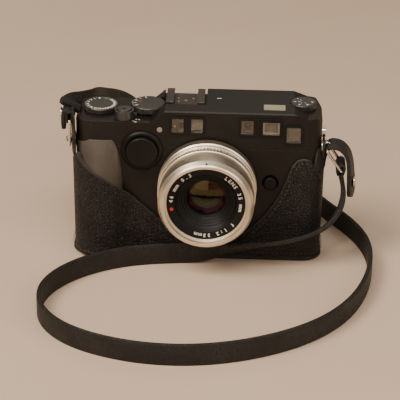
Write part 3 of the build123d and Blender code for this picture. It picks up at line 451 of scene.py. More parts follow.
def leatherMaterial(name, dark, light, pebble, wrinkle, bump, roughness):
    material, tree, shader, where = startMaterial(name, roughness)
    shader.inputs["Specular IOR Level"].default_value = 0.30
    skin = groupNode(tree, grain, {"Vector": where, "Pebble Scale": pebble, "Wrinkle": wrinkle})
    specks = groupNode(tree, dust, {"Vector": where, "Amount": 0.35})
    tone = rangeNode(tree, skin.outputs["Tone"], 0.3, 0.7)
    body = mixNode(tree, tone, (*dark, 1), (*light, 1))
    # painted shade: the base colour is darkened to 0.45 of the dark tone in the pebble grain's creases
    creaseShade = mixNode(tree, skin.outputs["Crease"], (dark[0] * 0.45, dark[1] * 0.45, dark[2] * 0.45, 1), body)
    dusty = mixNode(tree, specks.outputs["Specks"], creaseShade, (0.16, 0.14, 0.12, 1))
    edges = groupNode(tree, wear, {"Vector": where, "Radius": 0.0006, "Breakup": 500.0})
    rub = mathNode(tree, "MULTIPLY", edges.outputs["Mask"], 0.25)
    tree.links.new(mixNode(tree, rub, dusty, (0.17, 0.14, 0.11, 1)), shader.inputs["Base Color"])
    polish = rangeNode(tree, skin.outputs["Crease"], 0.0, 1.0, roughness + 0.22, roughness)
    film = rangeNode(tree, specks.outputs["Film"], 0.3, 0.7, -0.05, 0.07)
    tree.links.new(mathNode(tree, "ADD", polish, film), shader.inputs["Roughness"])
    relief = addNode(tree, "ShaderNodeBump",
        {"Strength": bump, "Distance": 0.00034, "Height": skin.outputs["Height"]})
    tree.links.new(relief.outputs[0], shader.inputs["Normal"])
    return material


def paintMaterial(name, colour, roughness, wornColour, wornAmount, radius=0.0004, specular=0.32,
    grainBump=0.05, dustAmount=0.5, metallic=0.0):
    material, tree, shader, where = startMaterial(name, roughness, metallic)
    shader.inputs["Specular IOR Level"].default_value = specular
    edges = groupNode(tree, wear, {"Vector": where, "Radius": radius, "Breakup": 350.0})
    specks = groupNode(tree, dust, {"Vector": where, "Amount": dustAmount})
    lighter = tuple(min(1, c * 1.5) for c in colour)
    film = rangeNode(tree, specks.outputs["Film"], 0.35, 0.7)
    body = mixNode(tree, film, (*colour, 1), (*lighter, 1))
    dusty = mixNode(tree, specks.outputs["Specks"], body, (0.30, 0.26, 0.22, 1))
    amount = mathNode(tree, "MULTIPLY", edges.outputs["Mask"], wornAmount)
    tree.links.new(mixNode(tree, amount, dusty, (*wornColour, 1)), shader.inputs["Base Color"])
    tree.links.new(rangeNode(tree, specks.outputs["Film"], 0.25, 0.75, roughness - 0.04, roughness + 0.07),
        shader.inputs["Roughness"])
    fine = addNode(tree, "ShaderNodeTexNoise", {"Vector": where, "Scale": 2600.0, "Detail": 2.0})
    relief = addNode(tree, "ShaderNodeBump",
        {"Strength": grainBump, "Distance": 0.0001, "Height": fine.outputs["Fac"],
                                              "Normal": edges.outputs["Normal"]})
    tree.links.new(relief.outputs[0], shader.inputs["Normal"])
    return material


def turnedMetal(name, colour, roughness, bump=0.06):
    material, tree, shader, where = startMaterial(name, roughness, 1.0)
    lathed = groupNode(tree, turning, {"Vector": where, "Fineness": 1.0})
    edges = groupNode(tree, wear, {"Vector": where, "Radius": 0.0003, "Breakup": 300.0})
    darker = tuple(c * 0.86 for c in colour)
    tone = rangeNode(tree, lathed.outputs["Tone"], 0.35, 0.65)
    body = mixNode(tree, tone, (*darker, 1), (*colour, 1))
    bright = tuple(min(1, c * 1.15 + 0.05) for c in colour)
    tree.links.new(mixNode(tree, mathNode(tree, "MULTIPLY", edges.outputs["Mask"], 0.8), body, (*bright, 1)),
        shader.inputs["Base Color"])
    tree.links.new(rangeNode(tree, lathed.outputs["Height"], 0.3, 0.7, roughness - 0.04, roughness + 0.06),
        shader.inputs["Roughness"])
    relief = addNode(tree, "ShaderNodeBump",
        {"Strength": bump, "Distance": 0.0001, "Height": lathed.outputs["Height"],
                                              "Normal": edges.outputs["Normal"]})
    tree.links.new(relief.outputs[0], shader.inputs["Normal"])
    return material


def platedMetal(name, colour, roughness):
    material, tree, shader, where = startMaterial(name, roughness, 1.0)
    edges = groupNode(tree, wear, {"Vector": where, "Radius": 0.0003, "Breakup": 600.0})
    scuffs = addNode(tree, "ShaderNodeTexNoise", {"Vector": where, "Scale": 900.0, "Detail": 5.0})
    dull = tuple(c * 0.78 for c in colour)
    tree.links.new(mixNode(tree, rangeNode(tree, scuffs.outputs["Fac"], 0.4, 0.65), (*dull, 1), (*colour, 1)),
        shader.inputs["Base Color"])
    tree.links.new(rangeNode(tree, scuffs.outputs["Fac"], 0.3, 0.7, roughness, roughness + 0.15),
        shader.inputs["Roughness"])
    relief = addNode(tree, "ShaderNodeBump",
        {"Strength": 0.04, "Distance": 0.0001, "Height": scuffs.outputs["Fac"],
                                              "Normal": edges.outputs["Normal"]})
    tree.links.new(relief.outputs[0], shader.inputs["Normal"])
    return material


def plainInk(name, colour, roughness=0.55):
    # printed or filled-in marks, a little uneven
    material, tree, shader, where = startMaterial(name, roughness)
    uneven = addNode(tree, "ShaderNodeTexNoise", {"Vector": where, "Scale": 1500.0, "Detail": 3.0})
    thin = tuple(c * 0.8 for c in colour)
    tree.links.new(mixNode(tree, uneven.outputs["Fac"], (*thin, 1), (*colour, 1)),
        shader.inputs["Base Color"])
    return material


def glassMaterial(name, tint, roughness=0.02, transmission=1.0):
    material, tree, shader, where = startMaterial(name, roughness)
    shader.inputs["Transmission Weight"].default_value = transmission
    shader.inputs["IOR"].default_value = 1.5
    shader.inputs["Coat Weight"].default_value = 0.4
    shader.inputs["Coat Roughness"].default_value = 0.03
    haze = addNode(tree, "ShaderNodeTexNoise", {"Vector": where, "Scale": 300.0, "Detail": 4.0})
    cloudy = tuple(c * 0.9 for c in tint)
    tree.links.new(mixNode(tree, haze.outputs["Fac"], (*cloudy, 1), (*tint, 1)), shader.inputs["Base Color"])
    tree.links.new(rangeNode(tree, haze.outputs["Fac"], 0.4, 0.7, roughness, roughness + 0.05),
        shader.inputs["Roughness"])
    return material


caseLeather = leatherMaterial("caseLeather", (0.012, 0.010, 0.009), (0.028, 0.024, 0.021), 640.0, 1.3, 1.0,
    0.38)
strapLeather = leatherMaterial("strapLeather", (0.016, 0.0145, 0.013), (0.032, 0.028, 0.025), 1050.0, 0.5,
    0.55, 0.40)
smoothLeather = leatherMaterial("smoothLeather", (0.018, 0.016, 0.014), (0.036, 0.032, 0.028), 1700.0, 0.3,
    0.3, 0.42)
cutEdge = leatherMaterial("cutLeatherEdge", (0.050, 0.044, 0.038), (0.095, 0.082, 0.070), 2400.0, 0.8, 0.35,
    0.5)
caseBoard = leatherMaterial("caseBoard", (0.05, 0.038, 0.028), (0.09, 0.07, 0.05), 1500.0, 0.4, 0.3, 0.7)
bodyPaint = paintMaterial("bodyPaint", (0.0085, 0.0070, 0.0058), 0.38, (0.20, 0.18, 0.15), 0.22,
    specular=0.24)
gripRubber = paintMaterial("gripRubber", (0.058, 0.049, 0.040), 0.36, (0.10, 0.09, 0.08), 0.2, grainBump=0.08,
    radius=0.0006)
blackPlastic = paintMaterial("blackPlastic", (0.0055, 0.0048, 0.0042), 0.42, (0.08, 0.075, 0.07), 0.3,
    specular=0.2)
controlBlack = paintMaterial("controlBlack", (0.020, 0.018, 0.016), 0.33, (0.55, 0.50, 0.44), 0.35,
    radius=0.0003, specular=0.6)
shoeSteel = paintMaterial("shoeSteel", (0.055, 0.046, 0.038), 0.34, (0.50, 0.44, 0.36), 0.6, metallic=0.5)
contactGold = platedMetal("contactGold", (0.42, 0.35, 0.25), 0.35)
chassisMetal = paintMaterial("chassisMetal", (0.085, 0.083, 0.08), 0.5, (0.3, 0.3, 0.3), 0.4, metallic=0.7)
batteryWrap = paintMaterial("batteryWrap", (0.05, 0.07, 0.11), 0.3, (0.5, 0.5, 0.5), 0.3)
shutterMetal = paintMaterial("shutterMetal", (0.045, 0.045, 0.047), 0.4, (0.25, 0.25, 0.25), 0.4,
    metallic=0.6)
chrome = platedMetal("platedSteel", (0.82, 0.78, 0.72), 0.16)
lensSilver = turnedMetal("champagneMetal", (0.97, 0.86, 0.71), 0.36)
innerBlack = turnedMetal("blackAnodised", (0.007, 0.0065, 0.0062), 0.46)
innerBlack.node_tree.nodes["Principled BSDF"].inputs["Metallic"].default_value = 0.0
innerBlack.node_tree.nodes["Principled BSDF"].inputs["Specular IOR Level"].default_value = 0.22
whiteInk = plainInk("whiteInk", (0.80, 0.77, 0.70))
redInk = plainInk("redInk", (0.62, 0.03, 0.02))
greenInk = plainInk("greenInk", (0.05, 0.30, 0.10))
darkInk = plainInk("darkInk", (0.02, 0.02, 0.02))
windowGlass = glassMaterial("windowGlass", (0.93, 0.90, 0.84))
lensGlass = glassMaterial("lensGlass", (0.62, 0.42, 0.52), 0.05)
lensGlass.node_tree.nodes["Principled BSDF"].inputs["Coat Weight"].default_value = 0.0
lampGlass = glassMaterial("lampGlass", (0.36, 0.31, 0.26), 0.4, 0.3)
lcdSurface = paintMaterial("displayPanel", (0.23, 0.22, 0.15), 0.22, (0.3, 0.3, 0.2), 0.1, dustAmount=0.2)
lensGlass.node_tree.nodes["Principled BSDF"].inputs["Thin Film Thickness"].default_value = 420.0
lensGlass.node_tree.nodes["Principled BSDF"].inputs["Thin Film IOR"].default_value = 1.38

finishes = {
    caseBoard: ["case_stiffener"],
    bodyPaint: ["top_cover", "bottom_cover", "front_panel", "back_door", "battery_cover"],
    gripRubber: ["hand_grip"],
    blackPlastic: ["finder_block", "af_module", "window_frames", "focus_dial_housing", "focus_dial",
        "lens_release_button",
                   "eyepiece_frame", "diopter_dial", "focus_lock_button", "takeup_spool", "film_sprocket",
                   "rewind_fork", "door_latch"],
    innerBlack: ["lens_inner_ring", "element_cell"],
    controlBlack: ["shutter_speed_dial", "exposure_dial", "drive_dial", "power_switch", "shutter_button"],
    shoeSteel: ["hot_shoe"],
    contactGold: ["shoe_contacts"],
    chassisMetal: ["main_chassis"],
    batteryWrap: ["batteries"],
    shutterMetal: ["shutter_blade_lower", "shutter_blade_middle", "shutter_blade_upper", "pressure_plate",
        "iris_blades"],
    chrome: ["case_screw", "tripod_socket", "body_screws", "door_hinge_pin", "strap_lugs", "strap_rings",
        "strap_rivets", "sync_terminal",
             "body_mount_ring"],
    windowGlass: ["window_glasses", "film_window"],
    lampGlass: ["self_timer_lamp"],
    lensGlass: ["front_element", "rear_element"],
    lensSilver: ["lens_barrel", "aperture_ring", "lens_front_ring"],
    smoothLeather: ["case_sole", "case_shell", "strap_ends"],
    lcdSurface: ["lcd_panel"],
}
for material, names in finishes.items():
    for name in names:
        setMaterial(nodes[name], material)
setMaterial(strap, strapLeather)
print("stage: finishes on", sum(len(v) for v in finishes.values()), "frame nodes")


# Half case

caseSet = {
    "halfWidth": 72.3, "front": -19.8, "back": 19.8, "corner": 11.8, "gripX": -55.0, "gripY": -9.0,
    "gripWide": 17.1, "gripDeep": 17.3,
    "wall": 2.3, "foot": 2.25, "rearLip": 16.5, "rows": 46, "columns": 420, "relief": 0.36,
}
cutKeys = [
    (-72.3, 69.5), (-70.5, 68.6), (-67, 60.3), (-60.8, 55.3), (-52.3, 51.0), (-43.9, 44.6), (-38.2, 39.7),
    (-32.5, 33.8), (-26.8, 28.6),
    (-22.2, 24.2), (-14, 18.6), (-5, 15.3), (5.5, 14.5), (16, 14.6), (24, 15.4), (30.6, 18.8), (37.2, 26.2),
    (44.2, 36.2), (49.4, 46.4),
    (51.8, 54.0), (53.4, 60.0), (56.6, 63.6), (60.0, 64.4), (63.4, 63.6), (67, 60.6), (70, 57.2), (72.3, 56),
]


def casePlan():
    # the wall's outer line seen from above, anticlockwise from the middle of the back, evenly spaced
    c = caseSet
    w, f, b, r = c["halfWidth"], c["front"], c["back"], c["corner"]
    line = [(0.0, b), (-w + r, b)]
    line += [(-w + r - r * math.sin(a), b - r + r * math.cos(a)) for a in np.linspace(0.1, math.pi / 2, 12)]
    line.append((-w, c["gripY"] + 3))
    for a in np.linspace(0.02, 0.80, 44):
        angle = math.pi * (1 + a)
        x, y = c["gripX"] + c["gripWide"] * math.cos(angle), c["gripY"] + c["gripDeep"] * math.sin(angle)
        if a < 0.5 or y < f - 1.4:
            line.append((x, y))
    line += [(-41.2, f - 0.75), (-39.2, f - 0.2), (-36.5, f)]
    line.append((w - r, f))
    line += [(w - r + r * math.sin(a), f + r - r * math.cos(a)) for a in np.linspace(0.1, math.pi / 2, 12)]
    line.append((w, b - r))
    line += [(w - r + r * math.cos(a), b - r + r * math.sin(a)) for a in np.linspace(0.1, math.pi / 2, 12)]
    line.append((0.0, b))
    points = np.array(line)
    steps = np.concatenate([[0], np.cumsum(np.linalg.norm(np.diff(points, axis=0), axis=1))])
    even = np.linspace(0, steps[-1], c["columns"], endpoint=False)
    plan = np.stack([np.interp(even, steps, points[:, 0]), np.interp(even, steps, points[:, 1])], axis=1)
    for _ in range(4):
        plan = (np.roll(plan, 1, axis=0) + 2 * plan + np.roll(plan, -1, axis=0)) / 4
    # the leather bridges the hollow beside the grip instead of creasing into it
    bridge = (plan[:, 0] > -46.5) & (plan[:, 0] < -29.0) & (plan[:, 1] < -15.0)
    for _ in range(36):
        plan[bridge] = ((np.roll(plan, 1, axis=0) + 2 * plan + np.roll(plan, -1, axis=0)) / 4)[bridge]
    return plan


def caseTop(plan):
    # the height of the leather's top edge at each place on the line
    keys = np.array(cutKeys)
    heights = []
    for x, y in plan:
        frontHeight = float(np.interp(x, keys[:, 0], keys[:, 1]))
        sideTop = 59.0 if x < 0 else 55.5
        sideHeight = float(np.interp(y, [-14.8, -3, 5.5, 7.3, 8.3],
            [sideTop, sideTop - 2.5, sideTop - 5, sideTop - 11, caseSet["rearLip"]]))
        blend = float(np.clip((y + 18.6) / 3.6, 0, 1))
        blend = blend * blend * (3 - 2 * blend)
        heights.append(min(frontHeight,
            frontHeight * (1 - blend) + sideHeight * blend) if blend < 1 else sideHeight)
    heights = np.array(heights)
    for _ in range(5):
        heights = (np.roll(heights, 1) + 2 * heights + np.roll(heights, -1)) / 4
    return heights


def gripSwell(z):
    # how far the grip's swell stands out at a height, against its depth low down
    return 1.0 if z <= 2.2 else 1.0 - 0.00394 * (z - 2.2) * (z - 52.0) / 17.3


def casePoint(x, y, z):
    # only what stands out beyond the flat front swells, so the wall has no step where the grip begins
    c = caseSet
    if x < -29 and y < c["gripY"]:
        reach = c["gripY"] - y
        limit = c["gripY"] - c["front"]
        if reach > limit:
            swell = 1 + (gripSwell(z) - 1) * c["gripDeep"] / (c["gripDeep"] - limit)
            y = c["gripY"] - limit - (reach - limit) * swell
    return x, y


plan = casePlan()
tops = caseTop(plan)
columns, rows = caseSet["columns"], caseSet["rows"]
deselect()
bpy.ops.mesh.primitive_cylinder_add(vertices=columns, radius=0.07, depth=0.06, end_fill_type="NOTHING",
    location=(0, 0, 0.032))
caseShell = bpy.context.object
caseShell.name = "case_leather_wall"
bpy.ops.object.mode_set(mode="EDIT")
bpy.ops.mesh.select_all(action="SELECT")
bpy.ops.mesh.subdivide_edgering(number_cuts=rows - 2, interpolation="LINEAR")
bpy.ops.object.mode_set(mode="OBJECT")
settle(caseShell)
# rings sorted from the foot up, then each vertex is moved onto the wall
byHeight = sorted(caseShell.data.vertices,
    key=lambda v: (round(v.co.z, 6), (math.atan2(v.co.y, v.co.x) + 0.002) % math.tau))
ringCount = len(byHeight) // columns
order = [(k - columns // 4) % columns for k in range(columns)]
for ring in range(ringCount):
    lift = ring / (ringCount - 1)
    for k in range(columns):
        i = order[k]
        x, y = plan[i]
        top = tops[i]
        z = caseSet["foot"] + (top - caseSet["foot"]) * lift
        x, y = casePoint(x, y, z)
        tuck = 0.9 * max(0.0, 1 - (z - caseSet["foot"]) / 1.6) ** 2
        rollIn = 0.35 * max(0.0, 1 - (top - z) / 1.2) ** 2
        shrink = 1 - (tuck + rollIn) / 72.0
        crease = noise.noise(Vector((x * 0.10, y * 0.16, z * 0.62))) + 0.5 * noise.noise(Vector((x * 0.3,
            y * 0.3, z * 1.3)))
        nearGrip = math.exp(-((x + 40) / 9.0) ** 2) + 0.55 * math.exp(-((x - 60) / 9.0) ** 2) * (1 if y < -12 else 0)
        out = caseSet["relief"] * crease * (0.35 + 1.3 * nearGrip) - 0.16
        length = math.hypot(x, y)
        normalX, normalY = (0, -1) if y < -19 else (x / abs(x), 0) if abs(x) > 71 else (x / length,
            y / length)
        if y > 19:
            normalX, normalY = 0, 1
        byHeight[ring * columns + k].co = ((x * shrink + normalX * out) * mm,
            (y * shrink + normalY * out) * mm, z * mm)
fixNormals(caseShell)
setMaterial(caseShell, caseLeather, cutEdge)
addModifier(caseShell, "SOLIDIFY", thickness=caseSet["wall"] * mm, offset=-1, use_even_offset=True,
    material_offset_rim=1)
applyAll(caseShell)
smooth(caseShell, 50)
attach(caseShell, "camera")
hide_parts("case_shell")
print("stage: case wall,", len(caseShell.data.polygons), "faces")


# sole
soleSet = {"inset": 0.3, "thick": 2.2, "round": 0.9, "hole": 8.2}
deselect()
bpy.ops.mesh.primitive_plane_add(size=2, location=(0, 0, 0))
sole = bpy.context.object
sole.name = "case_leather_sole"
sole.scale = ((caseSet["halfWidth"] - soleSet["inset"]) * mm, (caseSet["back"] - soleSet["inset"]) * mm, 1)
settle(sole)
bpy.ops.object.mode_set(mode="EDIT")
bpy.ops.mesh.select_all(action="SELECT")
bpy.ops.mesh.bevel(offset=11.5 * mm, segments=10, affect="VERTICES")
bpy.ops.mesh.select_all(action="SELECT")
bpy.ops.mesh.extrude_region_move(TRANSFORM_OT_translate={"value": (0, 0, soleSet["thick"] * mm)})
bpy.ops.mesh.select_all(action="SELECT")
bpy.ops.mesh.normals_make_consistent(inside=False)
bpy.ops.object.mode_set(mode="OBJECT")
bpy.ops.mesh.primitive_cylinder_add(vertices=48, radius=soleSet["hole"] * mm, depth=0.02)
cutter = bpy.context.object
addModifier(sole, "BOOLEAN", object=cutter, operation="DIFFERENCE", solver="EXACT")
addModifier(sole, "BEVEL", width=soleSet["round"] * mm, segments=4, limit_method="ANGLE",
    angle_limit=math.radians(60))
applyAll(sole)
bpy.data.objects.remove(cutter)
smooth(sole, 50)
setMaterial(sole, smoothLeather)
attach(sole, "camera")
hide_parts("case_sole")


# stitches: one thread bead, copied along the edges
stitchSet = {"footZ": 5.0, "long": 1.75, "pitch": 2.75, "radius": 0.27, "inset": 2.1}


def beadMesh():
    deselect()
    bpy.ops.mesh.primitive_uv_sphere_add(segments=8, ring_count=5, radius=1)
    bead = bpy.context.object
    bead.scale = (stitchSet["long"] * 0.5 * mm, stitchSet["radius"] * mm, stitchSet["radius"] * mm)
    settle(bead)
    return bead


def stitchRow(name, places, directions, outwards, material, body):
    bead = beadMesh()
    beads = []
    for place, along, outward in zip(places, directions, outwards):
        twin = bead.copy()
        twin.data = bead.data.copy()
        bpy.context.scene.collection.objects.link(twin)
        along = Vector(along).normalized()
        outward = (Vector(outward) - along * Vector(outward).dot(along)).normalized()
        side = outward.cross(along)
        twin.data.transform(Matrix((along, side, outward)).transposed().to_4x4())
        twin.data.transform(Matrix.Translation(Vector(place) * mm))
        beads.append(twin)
    bpy.data.objects.remove(bead)
    row = joinAs(name, beads)
    smooth(row, 60)
    setMaterial(row, material)
    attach(row, body)
    return row


def alongLine(points, pitch):
    # evenly spaced places and directions on a polyline
    line = [Vector(p) for p in points]
    total = spread(line)
    places, directions = [], []
    at = pitch / 2
    while at < total[-1]:
        i = next(k for k in range(1, len(total)) if total[k] >= at)
        t = (at - total[i - 1]) / max(1e-9, total[i] - total[i - 1])
        places.append(line[i - 1].lerp(line[i], t))
        directions.append((line[i] - line[i - 1]).normalized())
        at += pitch
    return places, directions


threadInk = plainInk("caseThread", (0.055, 0.048, 0.041), 0.6)
edgeLine, edgeOut = [], []
for x, y in plan:
    if 30 < x < 71.5 and y < -14:
        i = int(np.argmin(np.hypot(plan[:, 0] - x, plan[:, 1] - y)))
        n = (i + 3) % columns
        p = (i - 3) % columns
        tangent = Vector((plan[n][0] - plan[p][0], plan[n][1] - plan[p][1], tops[n] - tops[p])).normalized()
        outward = Vector((plan[n][1] - plan[p][1], -(plan[n][0] - plan[p][0]), 0)).normalized()
        if outward.y > 0 and y < -18:
            outward = -outward
        down = tangent.cross(outward)
        if down.z > 0:
            down = -down
        edgeLine.append(Vector((x, y, tops[i])) + down * stitchSet["inset"] + outward * -0.08)
        edgeOut.append(outward)
places, directions = alongLine(edgeLine, stitchSet["pitch"])
outs = [edgeOut[min(range(len(edgeLine)), key=lambda k: (edgeLine[k] - p).length)] for p in places]
stitchRow("case_edge_stitches", places, directions, outs, threadInk, "camera")
footLine = [Vector((x, y, stitchSet["footZ"])) for x,
    y in [casePoint(a, b, stitchSet["footZ"]) for a, b in plan]]
footLine = [p for p in footLine if p.y < 6]
places, directions = alongLine(footLine, stitchSet["pitch"])
outs = [Vector((d.y, -d.x, 0)) for d in directions]
places = [p - o * 0.12 for p, o in zip(places, outs)]
stitchRow("case_foot_stitches", places, directions, outs, threadInk, "camera")
print("stage: case sole and stitches")


# Strap ends: guards, folds and tails

guardSet = {"thick": 1.3, "y": -9, "holeRadius": 3.55, "holeZ": 68.5, "holeDepth": 10, "round": 0.4}


def bandPiece(name, points, halfWidth, halfThick, roundEnds, direction=(0, 1, 0), endDirection=None):
    line = routePoints(name + "Line", points)
    keys = [(points[0], direction), (points[-1], endDirection or direction)]
    piece = bandMesh(name, line, keys, halfWidth, halfThick, 0.2, roundEnds)
    setMaterial(piece, smoothLeather)
    return piece


def guardTab(name, x, top, low, halfWide):
    # a leather tab against the body, with a hole for the lug
    deselect()
    bpy.ops.mesh.primitive_cylinder_add(vertices=48, radius=halfWide * mm, depth=guardSet["thick"] * mm,
                                        location=(x * mm, guardSet["y"] * mm, (top - halfWide) * mm),
                                        rotation=(0, math.pi / 2, 0))
    tab = settle(bpy.context.object)
    for vertex in tab.data.vertices:
        if vertex.co.z < (top - halfWide) * mm:
            vertex.co.z += (low - (top - 2 * halfWide)) * mm
    bpy.ops.mesh.primitive_cylinder_add(vertices=32, radius=guardSet["holeRadius"] * mm,
        depth=guardSet["holeDepth"] * mm, location=(x * mm, guardSet["y"] * mm, guardSet["holeZ"] * mm),
                                        rotation=(0, math.pi / 2, 0))
    cutter = bpy.context.object
    addModifier(tab, "BOOLEAN", object=cutter, operation="DIFFERENCE", solver="EXACT")
    addModifier(tab, "BEVEL", width=guardSet["round"] * mm, segments=3, limit_method="ANGLE",
        angle_limit=math.radians(50))
    applyAll(tab)
    bpy.data.objects.remove(cutter)
    tab.name = name
    setMaterial(tab, smoothLeather)
    return smooth(tab, 45)


rightTail = bandPiece("right_tail",
    [(71.6, -10, 66.5), (73.6, -9.4, 69.8), (77.0, -9, 70.4), (81.4, -9, 68.8), (84.8, -9, 64.6),
        (86.3, -9, 58.6), (87.0, -9, 51.0),
                                     (87.5, -9, 44.0), (87.7, -9, 37.5)], 6.25, 1.1, (True, True),
                                     (0.05, 1, 0), (0.3, 0.95, 0))
rightFold = bandPiece("right_fold", [(81.3, -9, 51.5), (82.9, -9, 56.0), (82.9, -9, 58.9), (80.6, -9, 59.6),
    (78.7, -9, 57.6), (78.9, -9, 54.6),
                                     (80.1, -9, 51.0)], 6.2, 0.75, (False, True))
rightGuard = guardTab("right_guard", 70.65, 73.9, 61.2, 5.4)
cornerTab = bandPiece("corner_tab", [(70.9, -7.2, 68.6), (70.4, -9.6, 67.6), (69.6, -12.0, 65.0),
    (69.0, -13.6, 61.4), (68.8, -14.4, 58.0), (68.8, -14.6, 54.8)],
                      4.7, 0.65, (True, True), (0.62, 0.79, 0))
leftFlap = bandPiece("left_flap", [(-72.4, -9, 87.2), (-74.2, -9, 88.6), (-75.9, -9, 87.6), (-76.3, -9, 84.6),
    (-76.3, -9, 80.6), (-76.2, -9, 75.2)], 6.25,
                     1.0, (False, True))
leftFold = bandPiece("left_fold", [(-74.2, -9, 88.4), (-74.3, -9, 85.4), (-74.2, -9, 82.2), (-72.4, -9, 80.9),
    (-70.7, -9, 82.4),
                                   (-70.9, -9, 85.8), (-71.6, -9, 88.4)], 6.2, 0.7, (False, False))
leftTongue = bandPiece("left_tongue", [(-71.4, -10.5, 89.0), (-70.9, -11.2, 84.0), (-70.75, -12.2, 78.0),
    (-70.5, -13.0, 72.0), (-70.4, -13.4, 66.0), (-70.5, -13.4, 61.5)],
                       4.6, 0.55, (False, True), (0.25, -1, 0))
leftGuard = guardTab("left_guard", -70.65, 73.9, 61.2, 5.4)
strapEnds = joinAs("strap_end_leather", [rightTail, rightFold, rightGuard, cornerTab, leftFlap, leftFold,
    leftTongue, leftGuard])
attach(strapEnds, "camera")
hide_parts("strap_ends")
print("stage: strap ends")


# Lens face: stepped inner ring and its marks

lensSet = {"markRadius": 19.4, "markSize": 2.9, "markDepth": 0.25, "markFace": -43.42}
innerRing = closeLathe("lens_name_ring", [
    (21.9, -43.5), (21.55, -43.62), (21.2, -43.5), (17.75, -42.65), (17.5, -42.45), (16.9, -41.4),
    (15.6, -39.9), (15.2, -39.9), (14.4, -38.9), (14.1, -38.9),
    (13.1, -37.6), (12.7, -37.6), (11.7, -36.4), (11.3, -36.4), (10.75, -35.6), (10.62, -35.0),
    (10.62, -33.6), (21.9, -33.6),
])
setMaterial(innerRing, innerBlack)
smooth(innerRing, 18)
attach(innerRing, "lens")
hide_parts("lens_inner_ring")


def textPiece(body, size, depth):
    deselect()
    bpy.ops.object.text_add()
    letter = bpy.context.object
    letter.data.body = body
    letter.data.size = size * mm
    letter.data.extrude = depth / 2 * mm
    letter.data.align_x = "CENTER"
    letter.data.align_y = "CENTER"
    letter.data.resolution_u = 2
    letter.data.offset = 0.03 * size * mm
    bpy.ops.object.convert(target="MESH")
    return bpy.context.object


def frontRingText(body, middle, step, radius, y, size, depth):
    # letters set round the lens axis, upright outwards, clockwise seen from the front
    letters = []
    start = middle - step * (len(body) - 1) / 2
    for index, character in enumerate(body):
        if character == " ":
            continue
        angle = math.radians(start + step * index)
        letter = textPiece(character, size, depth)
        place = Vector((lensX + radius * math.sin(angle), y, lensZ + radius * math.cos(angle))) * mm
        turn = Matrix.Rotation(angle, 4, "Y") @ Matrix.Rotation(math.pi / 2, 4, "X")
        letter.matrix_world = Matrix.Translation(place) @ turn
        letters.append(settle(letter))
    return letters


lensMarks = []
for body, middle, step in (("LENS 35 mm", 67, 7.2), ("f 1:2 35mm", 163, 7.4), ("46 mm 0.5", 303, 7.4)):
    lensMarks += frontRingText(body, middle, step, lensSet["markRadius"], lensSet["markFace"],
        lensSet["markSize"], lensSet["markDepth"])
nameMarks = joinAs("lens_ring_numbers", lensMarks)
for polygon in nameMarks.data.polygons:
    polygon.use_smooth = False
setMaterial(nameMarks, whiteInk)
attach(nameMarks, "lens")


def frontDisc(name, x, z, y, radius, thick, material, body, dome=0.0):
    # a small round mark or cap facing forward, with a bevelled rim
    deselect()
    bpy.ops.mesh.primitive_cylinder_add(vertices=32, radius=radius * mm, depth=thick * mm,
        location=(x * mm, y * mm, z * mm),
                                        rotation=(math.pi / 2, 0, 0))
    disc = settle(bpy.context.object)
    if dome:
        bpy.ops.object.mode_set(mode="EDIT")
        bpy.ops.mesh.select_all(action="DESELECT")
        bpy.ops.object.mode_set(mode="OBJECT")
        for polygon in disc.data.polygons:
            polygon.select = polygon.normal.y < -0.9
        bpy.ops.object.mode_set(mode="EDIT")
        for step in range(4):
            bpy.ops.mesh.inset(thickness=radius * 0.18 * mm, depth=dome * (0.4 - 0.09 * step) * mm)
        bpy.ops.object.mode_set(mode="OBJECT")
    addModifier(disc, "BEVEL", width=min(thick, radius) * 0.2 * mm, segments=2, limit_method="ANGLE",
        angle_limit=math.radians(50))
    applyAll(disc)
    smooth(disc, 40)
    disc.name = name
    setMaterial(disc, material)
    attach(disc, body)
    return disc


redAngle = math.radians(259)
frontDisc("lens_red_dot", lensX + 19.4 * math.sin(redAngle), lensZ + 19.4 * math.cos(redAngle), -43.4, 1.05,
    0.3, redInk, "lens")
frontDisc("lens_index_dot", lensX + 0.1, lensZ + 25.7, -46.0, 0.42, 1.2, darkInk, "lens")
setMaterial(nodes["aperture_ring"], lensSilver)
print("stage: lens face")


# Windows on the front

windowSet = {
    "glassBack": -16.0,
    "lenses": [(-9.6, 82.6, 2.3), (27.6, 83.0, 2.2)],
    "dots": [(-13.4, 81.4, 0.75)],
}
for index, (x, z, radius) in enumerate(windowSet["lenses"]):
    frontDisc("window_lens_%d" % (index + 1), x, z, windowSet["glassBack"] + 0.8, radius, 0.8, lensGlass,
              "camera", dome=0.8)
amber = plainInk("amberFilter", (0.55, 0.22, 0.04))
for x, z, radius in windowSet["dots"]:
    frontDisc("window_amber_dot", x, z, windowSet["glassBack"] + 0.7, radius, 0.5, amber, "camera")


def windowPan(name, x, z, width, height, y, material, lip=0.8):
    # a shallow tray behind a window, with a rim stepped in
    deselect()
    bpy.ops.mesh.primitive_cube_add(size=1, location=(x * mm, y * mm, z * mm))
    pan = bpy.context.object
    pan.scale = (width * mm, 0.5 * mm, height * mm)
    settle(pan)
    for polygon in pan.data.polygons:
        polygon.select = polygon.normal.y < -0.9
    bpy.ops.object.mode_set(mode="EDIT")
    bpy.ops.mesh.select_mode(type="FACE")
    bpy.ops.mesh.inset(thickness=lip * mm, depth=0)
    bpy.ops.mesh.extrude_region_move(TRANSFORM_OT_translate={"value": (0, 0.3 * mm, 0)})
    bpy.ops.object.mode_set(mode="OBJECT")
    addModifier(pan, "BEVEL", width=0.08 * mm, segments=2, limit_method="ANGLE", angle_limit=math.radians(50))
    applyAll(pan)
    pan.name = name
    setMaterial(pan, material)
    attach(pan, "camera")
    return pan


